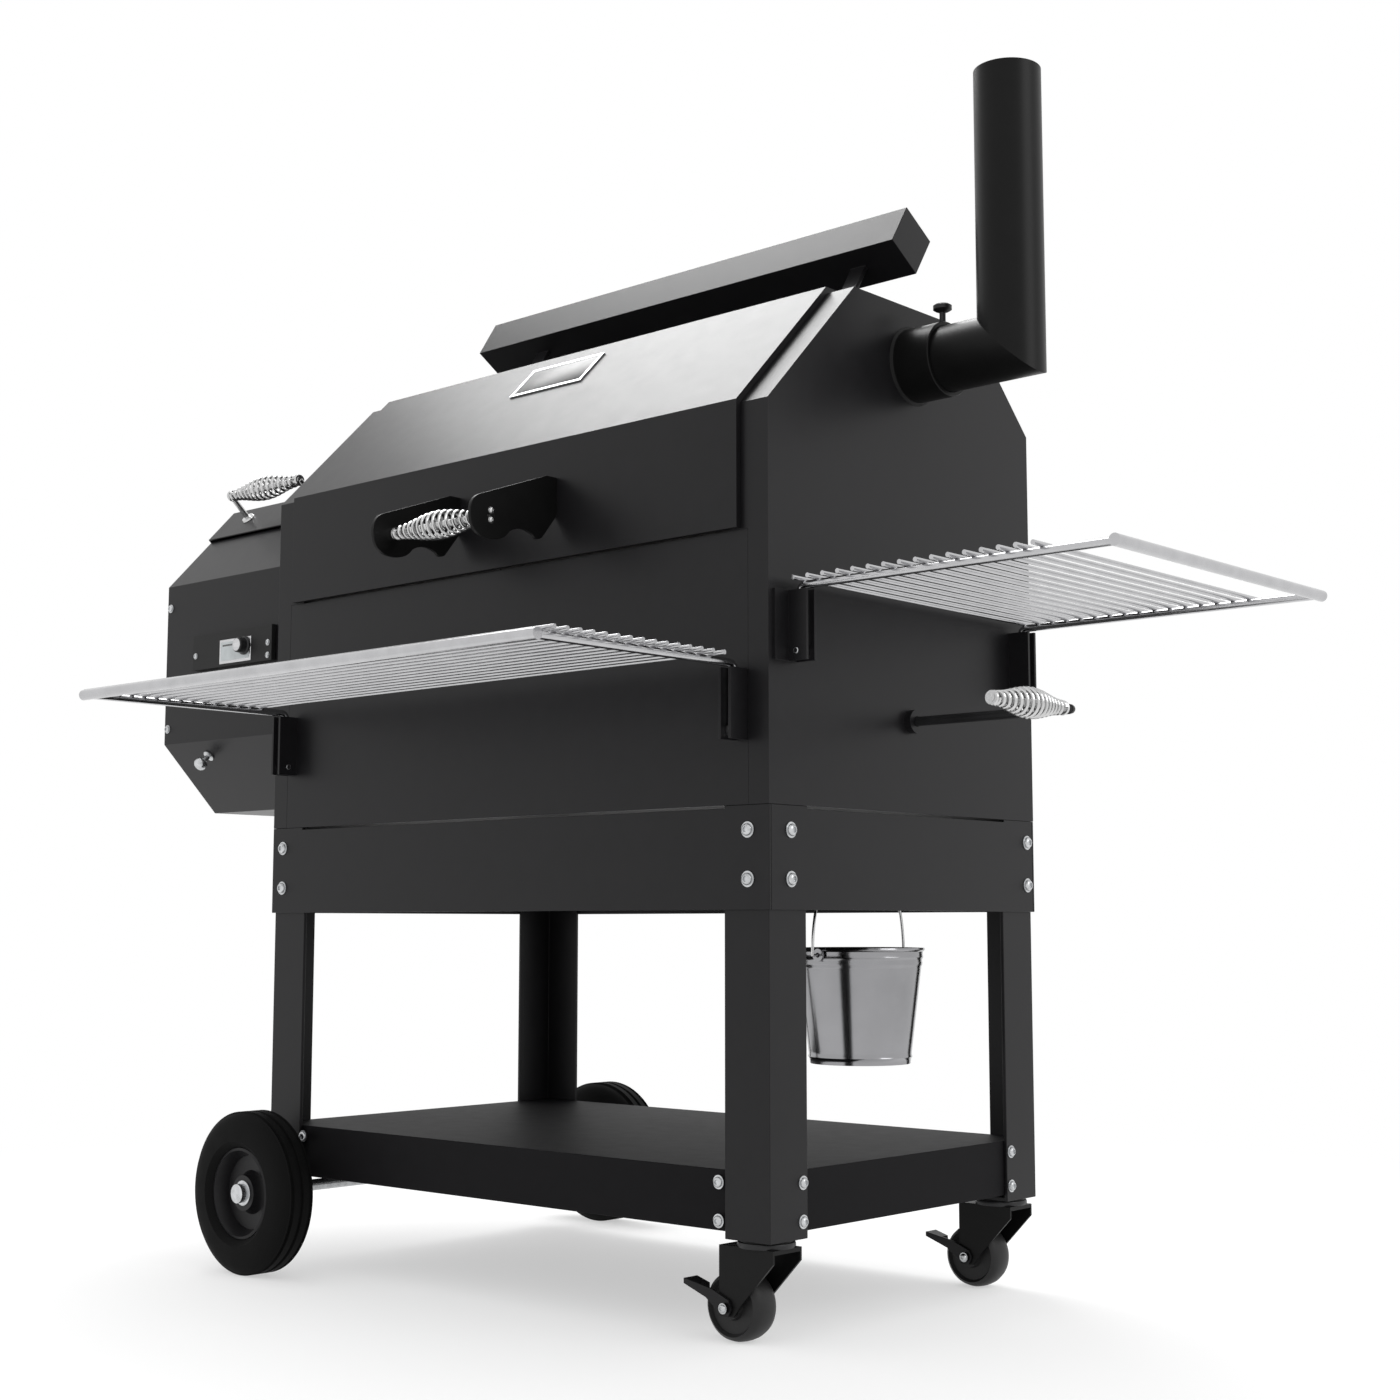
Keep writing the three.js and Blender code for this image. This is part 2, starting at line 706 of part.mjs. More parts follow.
// Door: a folded sheet with a rim turned in along its edges, and hinge lugs at the back.
function door() {
  const skin = foldedOutline(doorLine, doorProud, doorProud - doorSheet);
  const rimOutline = foldedOutline(doorLine, doorProud, doorProud - doorRim);
  const parts = [
    prismX(skin, -doorHalf, doorHalf),
    prismX(rimOutline, doorHalf - doorSheet, doorHalf),
    prismX(rimOutline, -doorHalf, -doorHalf + doorSheet),
    box(-doorHalf, doorHalf, front - doorProud, front - doorProud + doorRim,
      doorBottom, doorBottom + doorSheet),
  ];
  for (const x of hingeStations) {
    const foot = [
      [roofBack - 40, roofTop + doorProud - 1], [roofBack - 8, roofTop + doorProud - doorSheet],
      [hingeY, hingeZ - hingeLug + 1], [hingeY, hingeZ + hingeLug - 1],
    ];
    parts.push(hingeEye(x, hingeLugThickness, foot));
  }
  return join(...parts);
}
add("door", door(), blackPaint());

function hingeRod() {
  const end = hingeSpacing + 2 * hingeLugThickness + 6;
  return rod([-end, hingeY, hingeZ], [end, hingeY, hingeZ], hingeRadius, 16);
}
add("door_hinge_rod", hingeRod(), zinc());

// Handle brackets: upright plates with a sloped top edge, a rounded nose and an arch.
const doorFace = front - doorProud;
const gripY = doorFace - handleAxisOut;
const gripZ = doorBottom + handleAxisUp;
function handleBracket(x) {
  const root = doorFace - fit;
  const shape = new THREE.Shape();
  shape.moveTo(root, gripZ + 16);
  shape.lineTo(root, gripZ + 66);
  shape.lineTo(root - 18, gripZ + 66);
  shape.lineTo(gripY - 14, gripZ + 26);
  shape.quadraticCurveTo(doorFace - handleReach, gripZ + 20, doorFace - handleReach, gripZ);
  shape.quadraticCurveTo(doorFace - handleReach, gripZ - 30, gripY, gripZ - 30);
  shape.quadraticCurveTo(gripY + 22, gripZ - 30, gripY + 32, gripZ - 16);
  shape.quadraticCurveTo(gripY + 52, gripZ - 4, gripY + 72, gripZ - 14);
  shape.quadraticCurveTo(gripY + 78, gripZ - 22, gripY + 88, gripZ - 16);
  shape.closePath();
  const bolt = circleHole(gripY, gripZ, gripRod + fit);
  return prismX(shape, x - handlePlate / 2, x + handlePlate / 2, [bolt]);
}
const bracketLeft = handleCentre - handleSpan / 2;
const bracketRight = handleCentre + handleSpan / 2;
add("handle_bracket_left", handleBracket(bracketLeft), blackPaint());
add("handle_bracket_right", handleBracket(bracketRight), blackPaint());

// A coil grip is drawn as its outer barrel with its rod through it, about the x axis.
function coilGrip(length, rodLength, endRadius, bellyRadius) {
  const profile = [[0, -rodLength / 2], [gripRod, -rodLength / 2], [gripRod, -length / 2]];
  const steps = 8;
  for (let i = 0; i <= steps; i += 1) {
    const t = i / steps;
    const swell = Math.sin(Math.PI * t) ** 2;
    profile.push([endRadius + (bellyRadius - endRadius) * swell, -length / 2 + length * t]);
  }
  profile.push([gripRod, length / 2], [gripRod, rodLength / 2], [0, rodLength / 2]);
  return turnedRing(profile, "x", 20);
}
const doorGripLength = handleSpan - handlePlate - 2 * fit;
const doorGripRod = handleSpan + handlePlate + 6;
const doorGrip = coilGrip(doorGripLength, doorGripRod, gripEndRadius, gripBellyRadius);
add("door_grip", doorGrip, stainless()).position.set(handleCentre, gripY, gripZ);

// Counterweight: a closed square bar on two flat arms that stand on the door's top.
const weightY = front + weightBehindFront;
const weightZ = roofTop + weightAboveRoof;
function counterweight() {
  const angle = THREE.MathUtils.degToRad(weightTilt);
  const bar = new THREE.BoxGeometry(weightLength, weightSide, weightSide);
  bar.rotateX(angle).translate(weightShift, weightY, weightZ);
  const down = [-Math.cos(angle), -Math.sin(angle)];
  const start = [weightY + down[0] * (weightSide / 2 - 2), weightZ + down[1] * (weightSide / 2 - 2)];
  const footZ = roofTop + doorProud + fit;
  const reach = (start[1] - footZ - armThickness / 2) / -down[1];
  const foot = [start[0] + down[0] * reach, footZ + armThickness / 2];
  const line = [start, foot, [foot[0] - 46, foot[1]]];
  const outline = foldedOutline(line, armThickness / 2, -armThickness / 2);
  const arms = [-1, 1].map((side) => {
    const x = armShift + (side * armSpacing) / 2;
    return prismX(outline, x - armWidth / 2, x + armWidth / 2);
  });
  return join(bar, ...arms);
}
add("counterweight", counterweight(), blackPaint());

// Badge plate: a bare plate with a raised rim, lying on the door's slope.
function badgePlate() {
  const plate = box(-badgeWidth / 2, badgeWidth / 2, -badgeHeight / 2, badgeHeight / 2,
    0, badgeThickness);
  const recess = box(-badgeWidth / 2 + 5, badgeWidth / 2 - 5, -badgeHeight / 2 + 5,
    badgeHeight / 2 - 5, badgeThickness - 0.6, badgeThickness + 1);
  return cut(plate, recess);
}
const slopeAngle = Math.atan2(roofTop - frontCrease, frontSlopeRun);
const slopeFoot = offsetLine(doorLine, doorProud + fit)[1];
const badge = add("badge_plate", badgePlate(), stainless());
badge.rotation.x = slopeAngle;
badge.position.set(
  badgeShift,
  slopeFoot[0] + badgeUpSlope * Math.cos(slopeAngle),
  slopeFoot[1] + badgeUpSlope * Math.sin(slopeAngle)
);

// ---------------------------------------------------------------- inside the chamber
// Cooking grates: two lift-out grids on the sills.
function cookingGrate(x0, x1) {
  const [y0, y1] = [front + sheet + 6, back - sheet - 6];
  const [z0, z1] = [sillTop + fit, sillTop + fit + grateBar];
  const holes = [];
  const count = Math.floor((x1 - x0 - grateBar) / gratePitch);
  const pitch = (x1 - x0 - grateBar) / count;
  for (let i = 0; i < count; i += 1) {
    const from = x0 + grateBar + i * pitch;
    const to = from + pitch - grateBar;
    holes.push(box(from, to, y0 + grateBar, -grateBar / 2, z0 - 1, z1 + 1));
    holes.push(box(from, to, grateBar / 2, y1 - grateBar, z0 - 1, z1 + 1));
  }
  return cut(box(x0, x1, y0, y1, z0, z1), ...holes);
}
const grateEnd = right - sheet - 5;
add("cooking_grate_left", cookingGrate(-grateEnd, -1), rawSteel());
add("cooking_grate_right", cookingGrate(1, grateEnd), rawSteel());

// Drip tray: a shallow pan on the ledges, with an outlet lip at the drain end.
function dripTray() {
  const [x0, x1] = [left + sheet + 14, right - sheet - 60];
  const [y0, y1] = [front + sheet + 3, back - sheet - 3];
  const z0 = ledgeTop + fit;
  const pan = cut(
    box(x0, x1, y0, y1, z0, z0 + 20),
    box(x0 + 2, x1 - 2, y0 + 2, y1 - 2, z0 + 2, z0 + 21)
  );
  const lip = box(x1 - 3, x1 + 24, bucketY - 30, bucketY + 30, z0, z0 + 2);
  const notch = box(x1 - 5, x1 + 5, bucketY - 28, bucketY + 28, z0 + 2, z0 + 21);
  return cut(join(pan, lip), notch);
}
add("drip_tray", dripTray(), rawSteel());

// Heat diffuser: a plate on two folded legs that stand on the floor, open over the pot.
const potX = left + sheet + potOut;
function heatDiffuser() {
  const [x0, x1] = [left + sheet + 20, right - sheet - 120];
  const [y0, y1] = [front + sheet + 30, back - sheet - 30];
  const top = diffuserHeight;
  const bottom = bodyBottom + sheet + fit;
  const line = [[y0, bottom], [y0, top], [y1, top], [y1, bottom]];
  const plate = prismX(foldedOutline(line, 0, -sheet), x0, x1);
  const vent = box(potX - 70, potX + 70, middleY - 70, middleY + 70, top - 10, top + 10);
  return cut(plate, vent);
}
add("heat_diffuser", heatDiffuser(), rawSteel());

// Fire pot: an open cup on the floor with a side hole where the auger tube feeds it.
function firePot() {
  const base = bodyBottom + sheet + fit;
  const profile = [
    [0, base], [potRadius, base], [potRadius, base + potHeight],
    [potRadius - potWall, base + potHeight], [potRadius - potWall, base + potWall], [0, base + potWall],
  ];
  const cup = turnedRing(profile, "z", 32).translate(potX, middleY, 0);
  const from = [potX - potRadius - 10, middleY, augerHeight];
  const feed = rod(from, [potX, middleY, augerHeight], augerTubeRadius + fit, 24);
  return cut(cup, feed);
}
add("fire_pot", firePot(), rawSteel());

const hopperX = left - hopperWidth;
// Auger tube: from under the hopper bin through the end plate into the fire pot.
const tubeFrom = left - hopperWidth + 70;
const tubeTo = potX - potRadius + 6;
const inletFrom = tubeFrom + 16;
const inletLength = 90;
const inletTop = augerHeight + augerTubeRadius + 12;
function augerTube() {
  const body = rod([tubeFrom, middleY, augerHeight], [tubeTo, middleY, augerHeight],
    augerTubeRadius, 24);
  const bore = rod([tubeFrom - 1, middleY, augerHeight], [tubeTo + 1, middleY, augerHeight],
    augerTubeRadius - augerTubeWall, 24);
  const half = augerTubeRadius - 3;
  const spout = box(inletFrom, inletFrom + inletLength, middleY - half, middleY + half,
    augerHeight, inletTop);
  const throat = box(inletFrom + 3, inletFrom + inletLength - 3, middleY - half + 3,
    middleY + half - 3, augerHeight, inletTop + 1);
  return cut(join(body, spout), bore, throat);
}
add("auger_tube", augerTube(), rawSteel());

// Auger: a screw flight on a shaft, turned by the motor at the hopper's outer end.
function auger() {
  const pitch = 40;
  const from = tubeFrom + 8;
  const to = tubeTo - 4;
  const turns = Math.floor((to - from - 20) / pitch);
  const steps = turns * 8;
  const helix = new THREE.Curve();
  const middle = (augerRadius + 5) / 2;
  helix.getPoint = (t) => {
    const angle = t * turns * Math.PI * 2;
    return new THREE.Vector3(from + 10 + t * turns * pitch, Math.cos(angle) * middle,
      Math.sin(angle) * middle);
  };
  const reach = (augerRadius - 5) / 2 + 1;
  const rows = [];
  for (let i = 0; i <= steps; i += 1) {
    const point = helix.getPoint(i / steps);
    const out = new THREE.Vector3(0, point.y, point.z).normalize();
    for (const [across, along] of [[-1, -1], [1, -1], [1, 1], [-1, 1]]) {
      rows.push(point.clone().addScaledVector(out, across * reach).addScaledVector(X, along * 1.5));
    }
  }
  const index = [0, 1, 2, 0, 2, 3];
  const last = steps * 4;
  index.push(last, last + 2, last + 1, last, last + 3, last + 2);
  for (let i = 0; i < steps; i += 1) {
    for (let k = 0; k < 4; k += 1) {
      const a = i * 4 + k;
      const b = i * 4 + ((k + 1) % 4);
      index.push(a, a + 4, b, b, a + 4, b + 4);
    }
  }
  const flight = new THREE.BufferGeometry().setFromPoints(rows);
  flight.setIndex(index);
  const shaft = rod([tubeFrom - 20, 0, 0], [to, 0, 0], 6, 12);
  return join(shaft, flight);
}
add("auger", auger(), zinc()).position.set(0, middleY, augerHeight);

// Auger motor and blower, side by side under the bin.
function augerMotor() {
  const x = tubeFrom - fit;
  const gearbox = box(x - 40, x, middleY - 30, middleY + 30, augerHeight - 27, augerHeight + 27);
  const bore = rod([x - 22, middleY, augerHeight], [x + 1, middleY, augerHeight], 6 + running, 16);
  const foot = box(x - 40, x - 36, middleY - 30, middleY + 30, hopperFloor + hopperSheet + fit,
    augerHeight);
  return cut(join(gearbox, foot), bore);
}
add("auger_motor", augerMotor(), innerPaint());

const fanX = left - 96;
const fanY = front + 400;
const fanRadius = 34;
const fanZ = hopperFloor + hopperSheet + fit + fanRadius + 8;
function blowerHousing() {
  const outer = fanRadius + 8;
  const parts = cut(
    join(
      rod([fanX - 22, fanY, fanZ], [fanX + 22, fanY, fanZ], outer, 24),
      box(fanX - 22, fanX + 22, fanY - outer, fanY + outer, fanZ - outer, fanZ - outer + 6)
    ),
    rod([fanX - 19, fanY, fanZ], [fanX + 23, fanY, fanZ], fanRadius + 3, 24)
  );
  return join(parts, rod([fanX - 20, fanY, fanZ], [fanX + 14, fanY, fanZ], 3, 12));
}
add("blower_housing", blowerHousing(), innerPaint());

function fanWheel() {
  const blades = [];
  const count = 8;
  for (let i = 0; i < count; i += 1) {
    const blade = box(-14, 12, -1, 1, 10, fanRadius - 1);
    blades.push(blade.rotateX((Math.PI * 2 * i) / count));
  }
  const disc = rod([-14, 0, 0], [-11, 0, 0], fanRadius, 24);
  const hub = rod([-14, 0, 0], [12, 0, 0], 12, 16);
  const bore = rod([-16, 0, 0], [14, 0, 0], 3 + running, 12);
  return cut(join(disc, hub, ...blades), bore);
}
add("fan_wheel", fanWheel(), innerPaint()).position.set(fanX, fanY, fanZ);

// Damper: a plate that slides over the diffuser's vent, on a rod out through the end plate.
const slideY = middleY - 14;
function damperRod() {
  const plateTop = slideHeight + slideRod + 3;
  const plateX0 = potX + slideTravel - slidePlate;
  const plateX1 = potX + slideTravel + slidePlate;
  const gripX = right + slideOut;
  return join(
    rod([plateX1 - 10, slideY, slideHeight], [gripX, slideY, slideHeight], slideRod, 12),
    box(plateX0, plateX1, slideY - 66, slideY + 66, plateTop - 3, plateTop),
    box(plateX1 - 12, plateX1, slideY - 10, slideY + 10, slideHeight - slideRod, plateTop - 1),
    ball([gripX, slideY, slideHeight], slideRod, 12),
    rod([gripX, slideY, slideHeight], [gripX, slideY - 3, slideHeight], slideRod, 12)
  );
}
add("damper_rod", damperRod(), zinc());

const slideGripLength = 168;
const slideGrip = coilGrip(slideGripLength, slideGripLength + 2, gripEndRadius, gripBellyRadius);
slideGrip.rotateZ(-Math.PI / 2);
const slideGripMesh = add("damper_grip", slideGrip, stainless());
slideGripMesh.position.set(
  right + slideOut,
  slideY - slideRod - 1 - fit - slideGripLength / 2,
  slideHeight
);

// ---------------------------------------------------------------- chimney
const stackX = right + stackOut;
function collar() {
  const outer = stackRadius + running + collarWall;
  const bore = stackRadius + running;
  const start = right + fit;
  const profile = [[bore, 0], [outer, 0], [outer, collarLength], [bore, collarLength], [bore, 0]];
  const ring = turnedRing(profile, "x", 36).translate(start, middleY, stackAxisHeight);
  const screwX = right + collarLength - 9;
  const top = stackAxisHeight + outer + 6;
  const hole = rod([screwX, middleY, stackAxisHeight + bore - 4], [screwX, middleY, top],
    screwRadius + running, 12);
  return cut(ring, hole);
}
add("chimney_collar", collar(), blackPaint());

// Chimney: a horizontal pipe that slips into the collar, mitred to the upright pipe.
function stack() {
  const reach = 200;
  const pipe = (radius, from, to) => rod(from, to, radius, 36);
  const axis = stackAxisHeight;
  const level = (radius, start) =>
    pipe(radius, [start, middleY, axis], [stackX + reach, middleY, axis]);
  const upright = (radius, end) => pipe(radius, [stackX, middleY, axis - reach], [stackX, middleY, end]);
  // the two pipes meet on the plane that halves the corner
  const below = [[stackX - reach, axis + reach], [stackX + reach, axis - reach],
    [stackX + 3 * reach, axis + 3 * reach], [stackX + reach, axis + 5 * reach]];
  const lowerSide = [[stackX - reach, axis + reach], [stackX + reach, axis - reach],
    [stackX + reach, axis - 3 * reach], [stackX - 3 * reach, axis - 3 * reach],
    [stackX - 3 * reach, axis + reach]];
  const upperHalf = prismY(below, middleY - reach, middleY + reach);
  const lowerHalf = prismY(lowerSide, middleY - reach, middleY + reach);
  const start = right + 3;
  const inner = stackRadius - stackWall;
  const outerLevel = solid(level(stackRadius, start)).intersect(solid(lowerHalf));
  const outerUp = solid(upright(stackRadius, stackTop)).intersect(solid(upperHalf));
  const innerLevel = solid(level(inner, start - 5)).intersect(solid(lowerHalf));
  const innerUp = solid(upright(inner, stackTop + 5)).intersect(solid(upperHalf));
  return geometryOf(outerLevel.add(outerUp).subtract(innerLevel.add(innerUp)));
}
add("chimney_stack", stack(), blackPaint());

// Thumbscrew that clamps the chimney in its collar.
function thumbscrew() {
  const base = stackAxisHeight + stackRadius + fit;
  const shoulder = stackAxisHeight + stackRadius + running + collarWall + screwNeck;
  const profile = [
    [0, base], [screwRadius, base], [screwRadius, shoulder], [screwHead - 3, shoulder + 2],
    [screwHead, shoulder + 4], [screwHead, shoulder + 9], [screwHead - 3, shoulder + 11],
    [0, shoulder + 11],
  ];
  return turnedRing(profile, "z", 20).translate(right + collarLength - 9, middleY, 0);
}
add("thumbscrew", thumbscrew(), stainless());

// ---------------------------------------------------------------- hopper
const hopperFront = front + hopperSetback;
const hopperRear = front + hopperBack;
const hopperOutline = [
  [hopperFront + hopperLowRun, hopperFloor], [hopperFront, hopperLowCrease],
  [hopperFront, hopperHighCrease], [hopperFront + hopperHighRun, hopperTop],
  [hopperRear, hopperTop], [hopperRear, hopperFloor],
];
const lidFrontY = hopperFront
  + (hopperHighRun * (lidLine - hopperHighCrease)) / (hopperTop - hopperHighCrease);
const hopperInner = left - fit;

const lidPin = 6;
const lidKnuckle = 24;
const lidHingeY = hopperRear + lidPin + 1;
const lidHingeZ = hopperTop + lidProud + 1;
const lidStations = [0.25, 0.75].map((share) => hopperX + hopperWidth * share);

// Housing: folded sheet open towards the end plate and open on top under the lid.
function hopperHousing() {
  const shell = prismX(hopperOutline, hopperX, hopperInner);
  const inside = offsetLine([...hopperOutline, hopperOutline[0]], -hopperSheet).slice(0, -1);
  inside[0] = [inside[0][0], hopperFloor + hopperSheet];
  inside[inside.length - 1] = [hopperRear - hopperSheet, hopperFloor + hopperSheet];
  const hollow = prismX(inside, hopperX + hopperSheet, hopperInner + 1);
  const mouth = prismX(
    [
      [lidFrontY - 30, lidLine + 1], [lidFrontY - 30, hopperTop + 50], [hopperRear - 15, hopperTop + 50],
      [hopperRear - 15, hopperTop - 10], [lidFrontY + 50, hopperTop - 10], [lidFrontY + 14, lidLine + 1],
    ],
    hopperX + 14, hopperInner + 1
  );
  const lugs = lidStations.flatMap((x) =>
    [-1, 1].map((side) => {
      const centre = x + side * (lidKnuckle + running);
      const half = lidKnuckle / 2;
      const knuckle = rod([centre - half, lidHingeY, lidHingeZ], [centre + half, lidHingeY, lidHingeZ],
        lidPin, 16);
      const foot = [[hopperRear - 1, hopperTop - 30], [hopperRear + 3, hopperTop - 30],
        [lidHingeY + lidPin, lidHingeZ], [lidHingeY, lidHingeZ - 1], [hopperRear - 1, hopperTop - 6]];
      return join(knuckle, prismX(foot, centre - half, centre + half));
    })
  );
  return join(cut(shell, hollow, mouth), ...lugs);
}
add("hopper_housing", hopperHousing(), blackPaint());

// Bin: a funnel from the lid's opening down to the auger's inlet.
function hexahedron(bottom, top) {
  const corners = ([x0, x1, y0, y1, z]) => [[x0, y0, z], [x1, y0, z], [x1, y1, z], [x0, y1, z]];
  const points = [...corners(bottom), ...corners(top)].map((p) => new THREE.Vector3(...p));
  const g = new THREE.BufferGeometry().setFromPoints(points);
  const faces = [0, 2, 1, 0, 3, 2, 4, 5, 6, 4, 6, 7];
  for (let k = 0; k < 4; k += 1) {
    const n = (k + 1) % 4;
    faces.push(k, n, n + 4, k, n + 4, k + 4);
  }
  g.setIndex(faces);
  return g;
}
const binTop = lidLine - 8;
function hopperBin() {
  const wall = 2;
  const half = augerTubeRadius - 3;
  const mouth = [hopperX + 10, hopperInner - 10, lidFrontY + 4, hopperRear - 10];
  const neck = [inletFrom, inletFrom + inletLength, middleY - half, middleY + half];
  const inset = ([x0, x1, y0, y1], w) => [x0 + w, x1 - w, y0 + w, y1 - w];
  const shoulder = binTop - 90;
  const neckTop = inletTop + fit;
  const outer = join(
    hexahedron([...mouth, shoulder], [...mouth, binTop]),
    hexahedron([...neck, neckTop], [...mouth, shoulder])
  );
  const innerUp = hexahedron([...inset(mouth, wall), shoulder], [...inset(mouth, wall), binTop + 1]);
  const innerLow = hexahedron([...inset(neck, wall), neckTop - 1], [...inset(mouth, wall), shoulder]);
  return cut(outer, join(innerUp, innerLow));
}
add("hopper_bin", hopperBin(), rawSteel());

// Lid: covers the slope's upper part and the top, hinged along the rear edge.
function hopperLid() {
  const line = [[lidFrontY, lidLine], [hopperFront + hopperHighRun, hopperTop], [hopperRear - 6, hopperTop]];
  const skin = foldedOutline(line, lidProud + lidSheet, lidProud);
  const x0 = hopperX - fit - lidSheet;
  const skirt = prismX(foldedOutline(line, lidProud + lidSheet, lidProud - lidSkirt), x0, x0 + lidSheet);
  const leaf = [
    [hopperRear - 12, hopperTop + lidProud + 0.5], [lidHingeY, lidHingeZ],
    [lidHingeY, lidHingeZ + lidPin - 0.5], [hopperRear - 12, hopperTop + lidProud + lidSheet + 2],
  ];
  const half = lidKnuckle / 2;
  const knuckles = lidStations.flatMap((x) => [
    rod([x - half, lidHingeY, lidHingeZ], [x + half, lidHingeY, lidHingeZ], lidPin, 16),
    prismX(leaf, x - half, x + half),
  ]);
  return join(prismX(skin, x0, hopperInner - 2), skirt, ...knuckles);
}
add("hopper_lid", hopperLid(), blackPaint());

// Lid handle: two posts stood on the slope carry a coil grip along x.
const lidGripSpan = 182;
const lidGripX = hopperX + 155;
const lidFootUp = 106; // feet of the posts behind the hopper's front
const lidGripOut = 52; // grip axis from the lid's slope
function lidHandle() {
  const slope = Math.atan2(hopperTop - hopperHighCrease, hopperHighRun);
  const normal = [-Math.sin(slope), Math.cos(slope)];
  const foot = [hopperFront + lidFootUp, hopperHighCrease + lidFootUp * Math.tan(slope)];
  const seat = lidProud + lidSheet + fit;
  const point = (x, out) => [x, foot[0] + normal[0] * out, foot[1] + normal[1] * out];
  const grip = coilGrip(lidGripSpan, lidGripSpan + 8, gripEndRadius, gripBellyRadius);
  const parts = [grip.translate(...point(lidGripX, lidGripOut))];
  for (const side of [-1, 1]) {
    const x = lidGripX + side * (lidGripSpan / 2 - 2);
    parts.push(rod(point(x, seat), point(x, seat + 3), 11, 16));
    parts.push(rod(point(x, seat + 1), point(x, lidGripOut), 4.5, 10));
  }
  return join(...parts);
}
add("lid_handle", lidHandle(), stainless());

// Cleanout knob on the hopper's lower slope.
const cleanoutX = hopperX + 95;
const cleanoutDown = 28; // along the slope from its upper crease
function cleanoutKnob() {
  const slope = Math.atan2(hopperLowCrease - hopperFloor, hopperLowRun);
  const profile = [[0, fit], [9, fit], [9, 3], [4, 4], [4, 14], [8, 15], [10, 18], [10, 25], [7, 28], [0, 28]];
  const g = turnedRing(profile, "z", 20);
  g.rotateX(Math.PI / 2 + (Math.PI / 2 - slope));
  return g.translate(cleanoutX, hopperFront + cleanoutDown * Math.cos(slope),
    hopperLowCrease - cleanoutDown * Math.sin(slope));
}
add("cleanout_knob", cleanoutKnob(), zinc());

// Controller panel on the hopper's front, with its turning knob.
const controllerX = left - controllerCentreOut;
const knobX = left - knobOut;
function controllerPanel() {
  const y1 = hopperFront - fit;
  const y0 = y1 - controllerThickness;
  const [z0, z1] = [controllerCentreHeight - controllerHeight / 2,
    controllerCentreHeight + controllerHeight / 2];
  const half = controllerWidth / 2;
  const body = box(controllerX - half, controllerX + half, y0, y1, z0, z1);
  const shaft = rod([knobX, y1 - 2, controllerCentreHeight], [knobX, y0 - 8, controllerCentreHeight],
    3, 12);
  return join(body, shaft);
}
add("controller_panel", controllerPanel(), innerPaint());

function controllerKnob() {
  const bore = 3 + running;
  const profile = [
    [bore, -knobLength / 2], [knobRadius + 2, -knobLength / 2], [knobRadius + 2, -knobLength / 2 + 4],
    [knobRadius, -knobLength / 2 + 5], [knobRadius - 1, knobLength / 2], [0, knobLength / 2],
    [0, knobLength / 2 - 4], [bore, knobLength / 2 - 4], [bore, -knobLength / 2],
  ];
  return turnedRing(profile, "y", 24).rotateX(Math.PI);
}
const knobY = hopperFront - fit - controllerThickness - fit - knobLength / 2;
add("controller_knob", controllerKnob(), stainless())
  .position.set(knobX, knobY, controllerCentreHeight);

// ---------------------------------------------------------------- folding shelves
// A wire shelf: two carrying bars that bend down to their pivot bolts, a fat outer tube
// and wires laid across. Drawn with its depth along -Y and its length along X.
function wireShelf(spec) {
  const { half, depth, barAt, wires, first, pitch, pivotDrop } = spec;
  const parts = [];
  for (const side of [-1, 1]) {
    const x = side * barAt;
    parts.push(bentRod([[x, -pivotOut, -pivotDrop], [x, -pivotOut, -6],
      [x, -pivotOut - 6, 0], [x, -depth + 4, 0]], shelfBar));
    const eye = rod([x - shelfBar, -pivotOut, -pivotDrop],
      [x + shelfBar, -pivotOut, -pivotDrop], 9, 16);
    parts.push(eye);
  }
  parts.push(rod([-barAt - shelfBar - 3, -depth, 0], [barAt + shelfBar + 3, -depth, 0], shelfTube, 12));
  for (let i = 0; i < wires; i += 1) {
    const y = -(first + i * pitch);
    const z = shelfBar + shelfWire - shelfSink;
    parts.push(rod([-half, y, z], [half, y, z], shelfWire, 6));
  }
  const bore = rod([-barAt - 30, -pivotOut, -pivotDrop],
    [barAt + 30, -pivotOut, -pivotDrop], pivotBolt + running, 12);
  return cut(join(...parts), bore);
}
const pivotDrop = bracketDrop - 6;
const frontShelf = add(
  "front_shelf",
  wireShelf({
    half: right - frontShelfInset + wireOverhang - 8,
    depth: frontShelfDepth - shelfTube,
    barAt: right - frontShelfInset - shelfBar - running,
    wires: frontShelfWires,
    first: frontShelfFirst,
    pitch: frontShelfPitch,
    pivotDrop,
  }),
  stainless()
);
frontShelf.position.set(0, front, frontShelfHeight);
const sideShelf = add(
  "side_shelf",
  wireShelf({
    half: back - sideShelfInset + wireOverhang,
    depth: sideShelfDepth - shelfTube,
    barAt: back - sideShelfInset + shelfBar + running,
    wires: sideShelfWires,
    first: sideShelfFirst,
    pitch: sideShelfPitch,
    pivotDrop,
  }),
  stainless()
);
sideShelf.rotation.z = Math.PI / 2;
sideShelf.position.set(right, 0, sideShelfHeight);

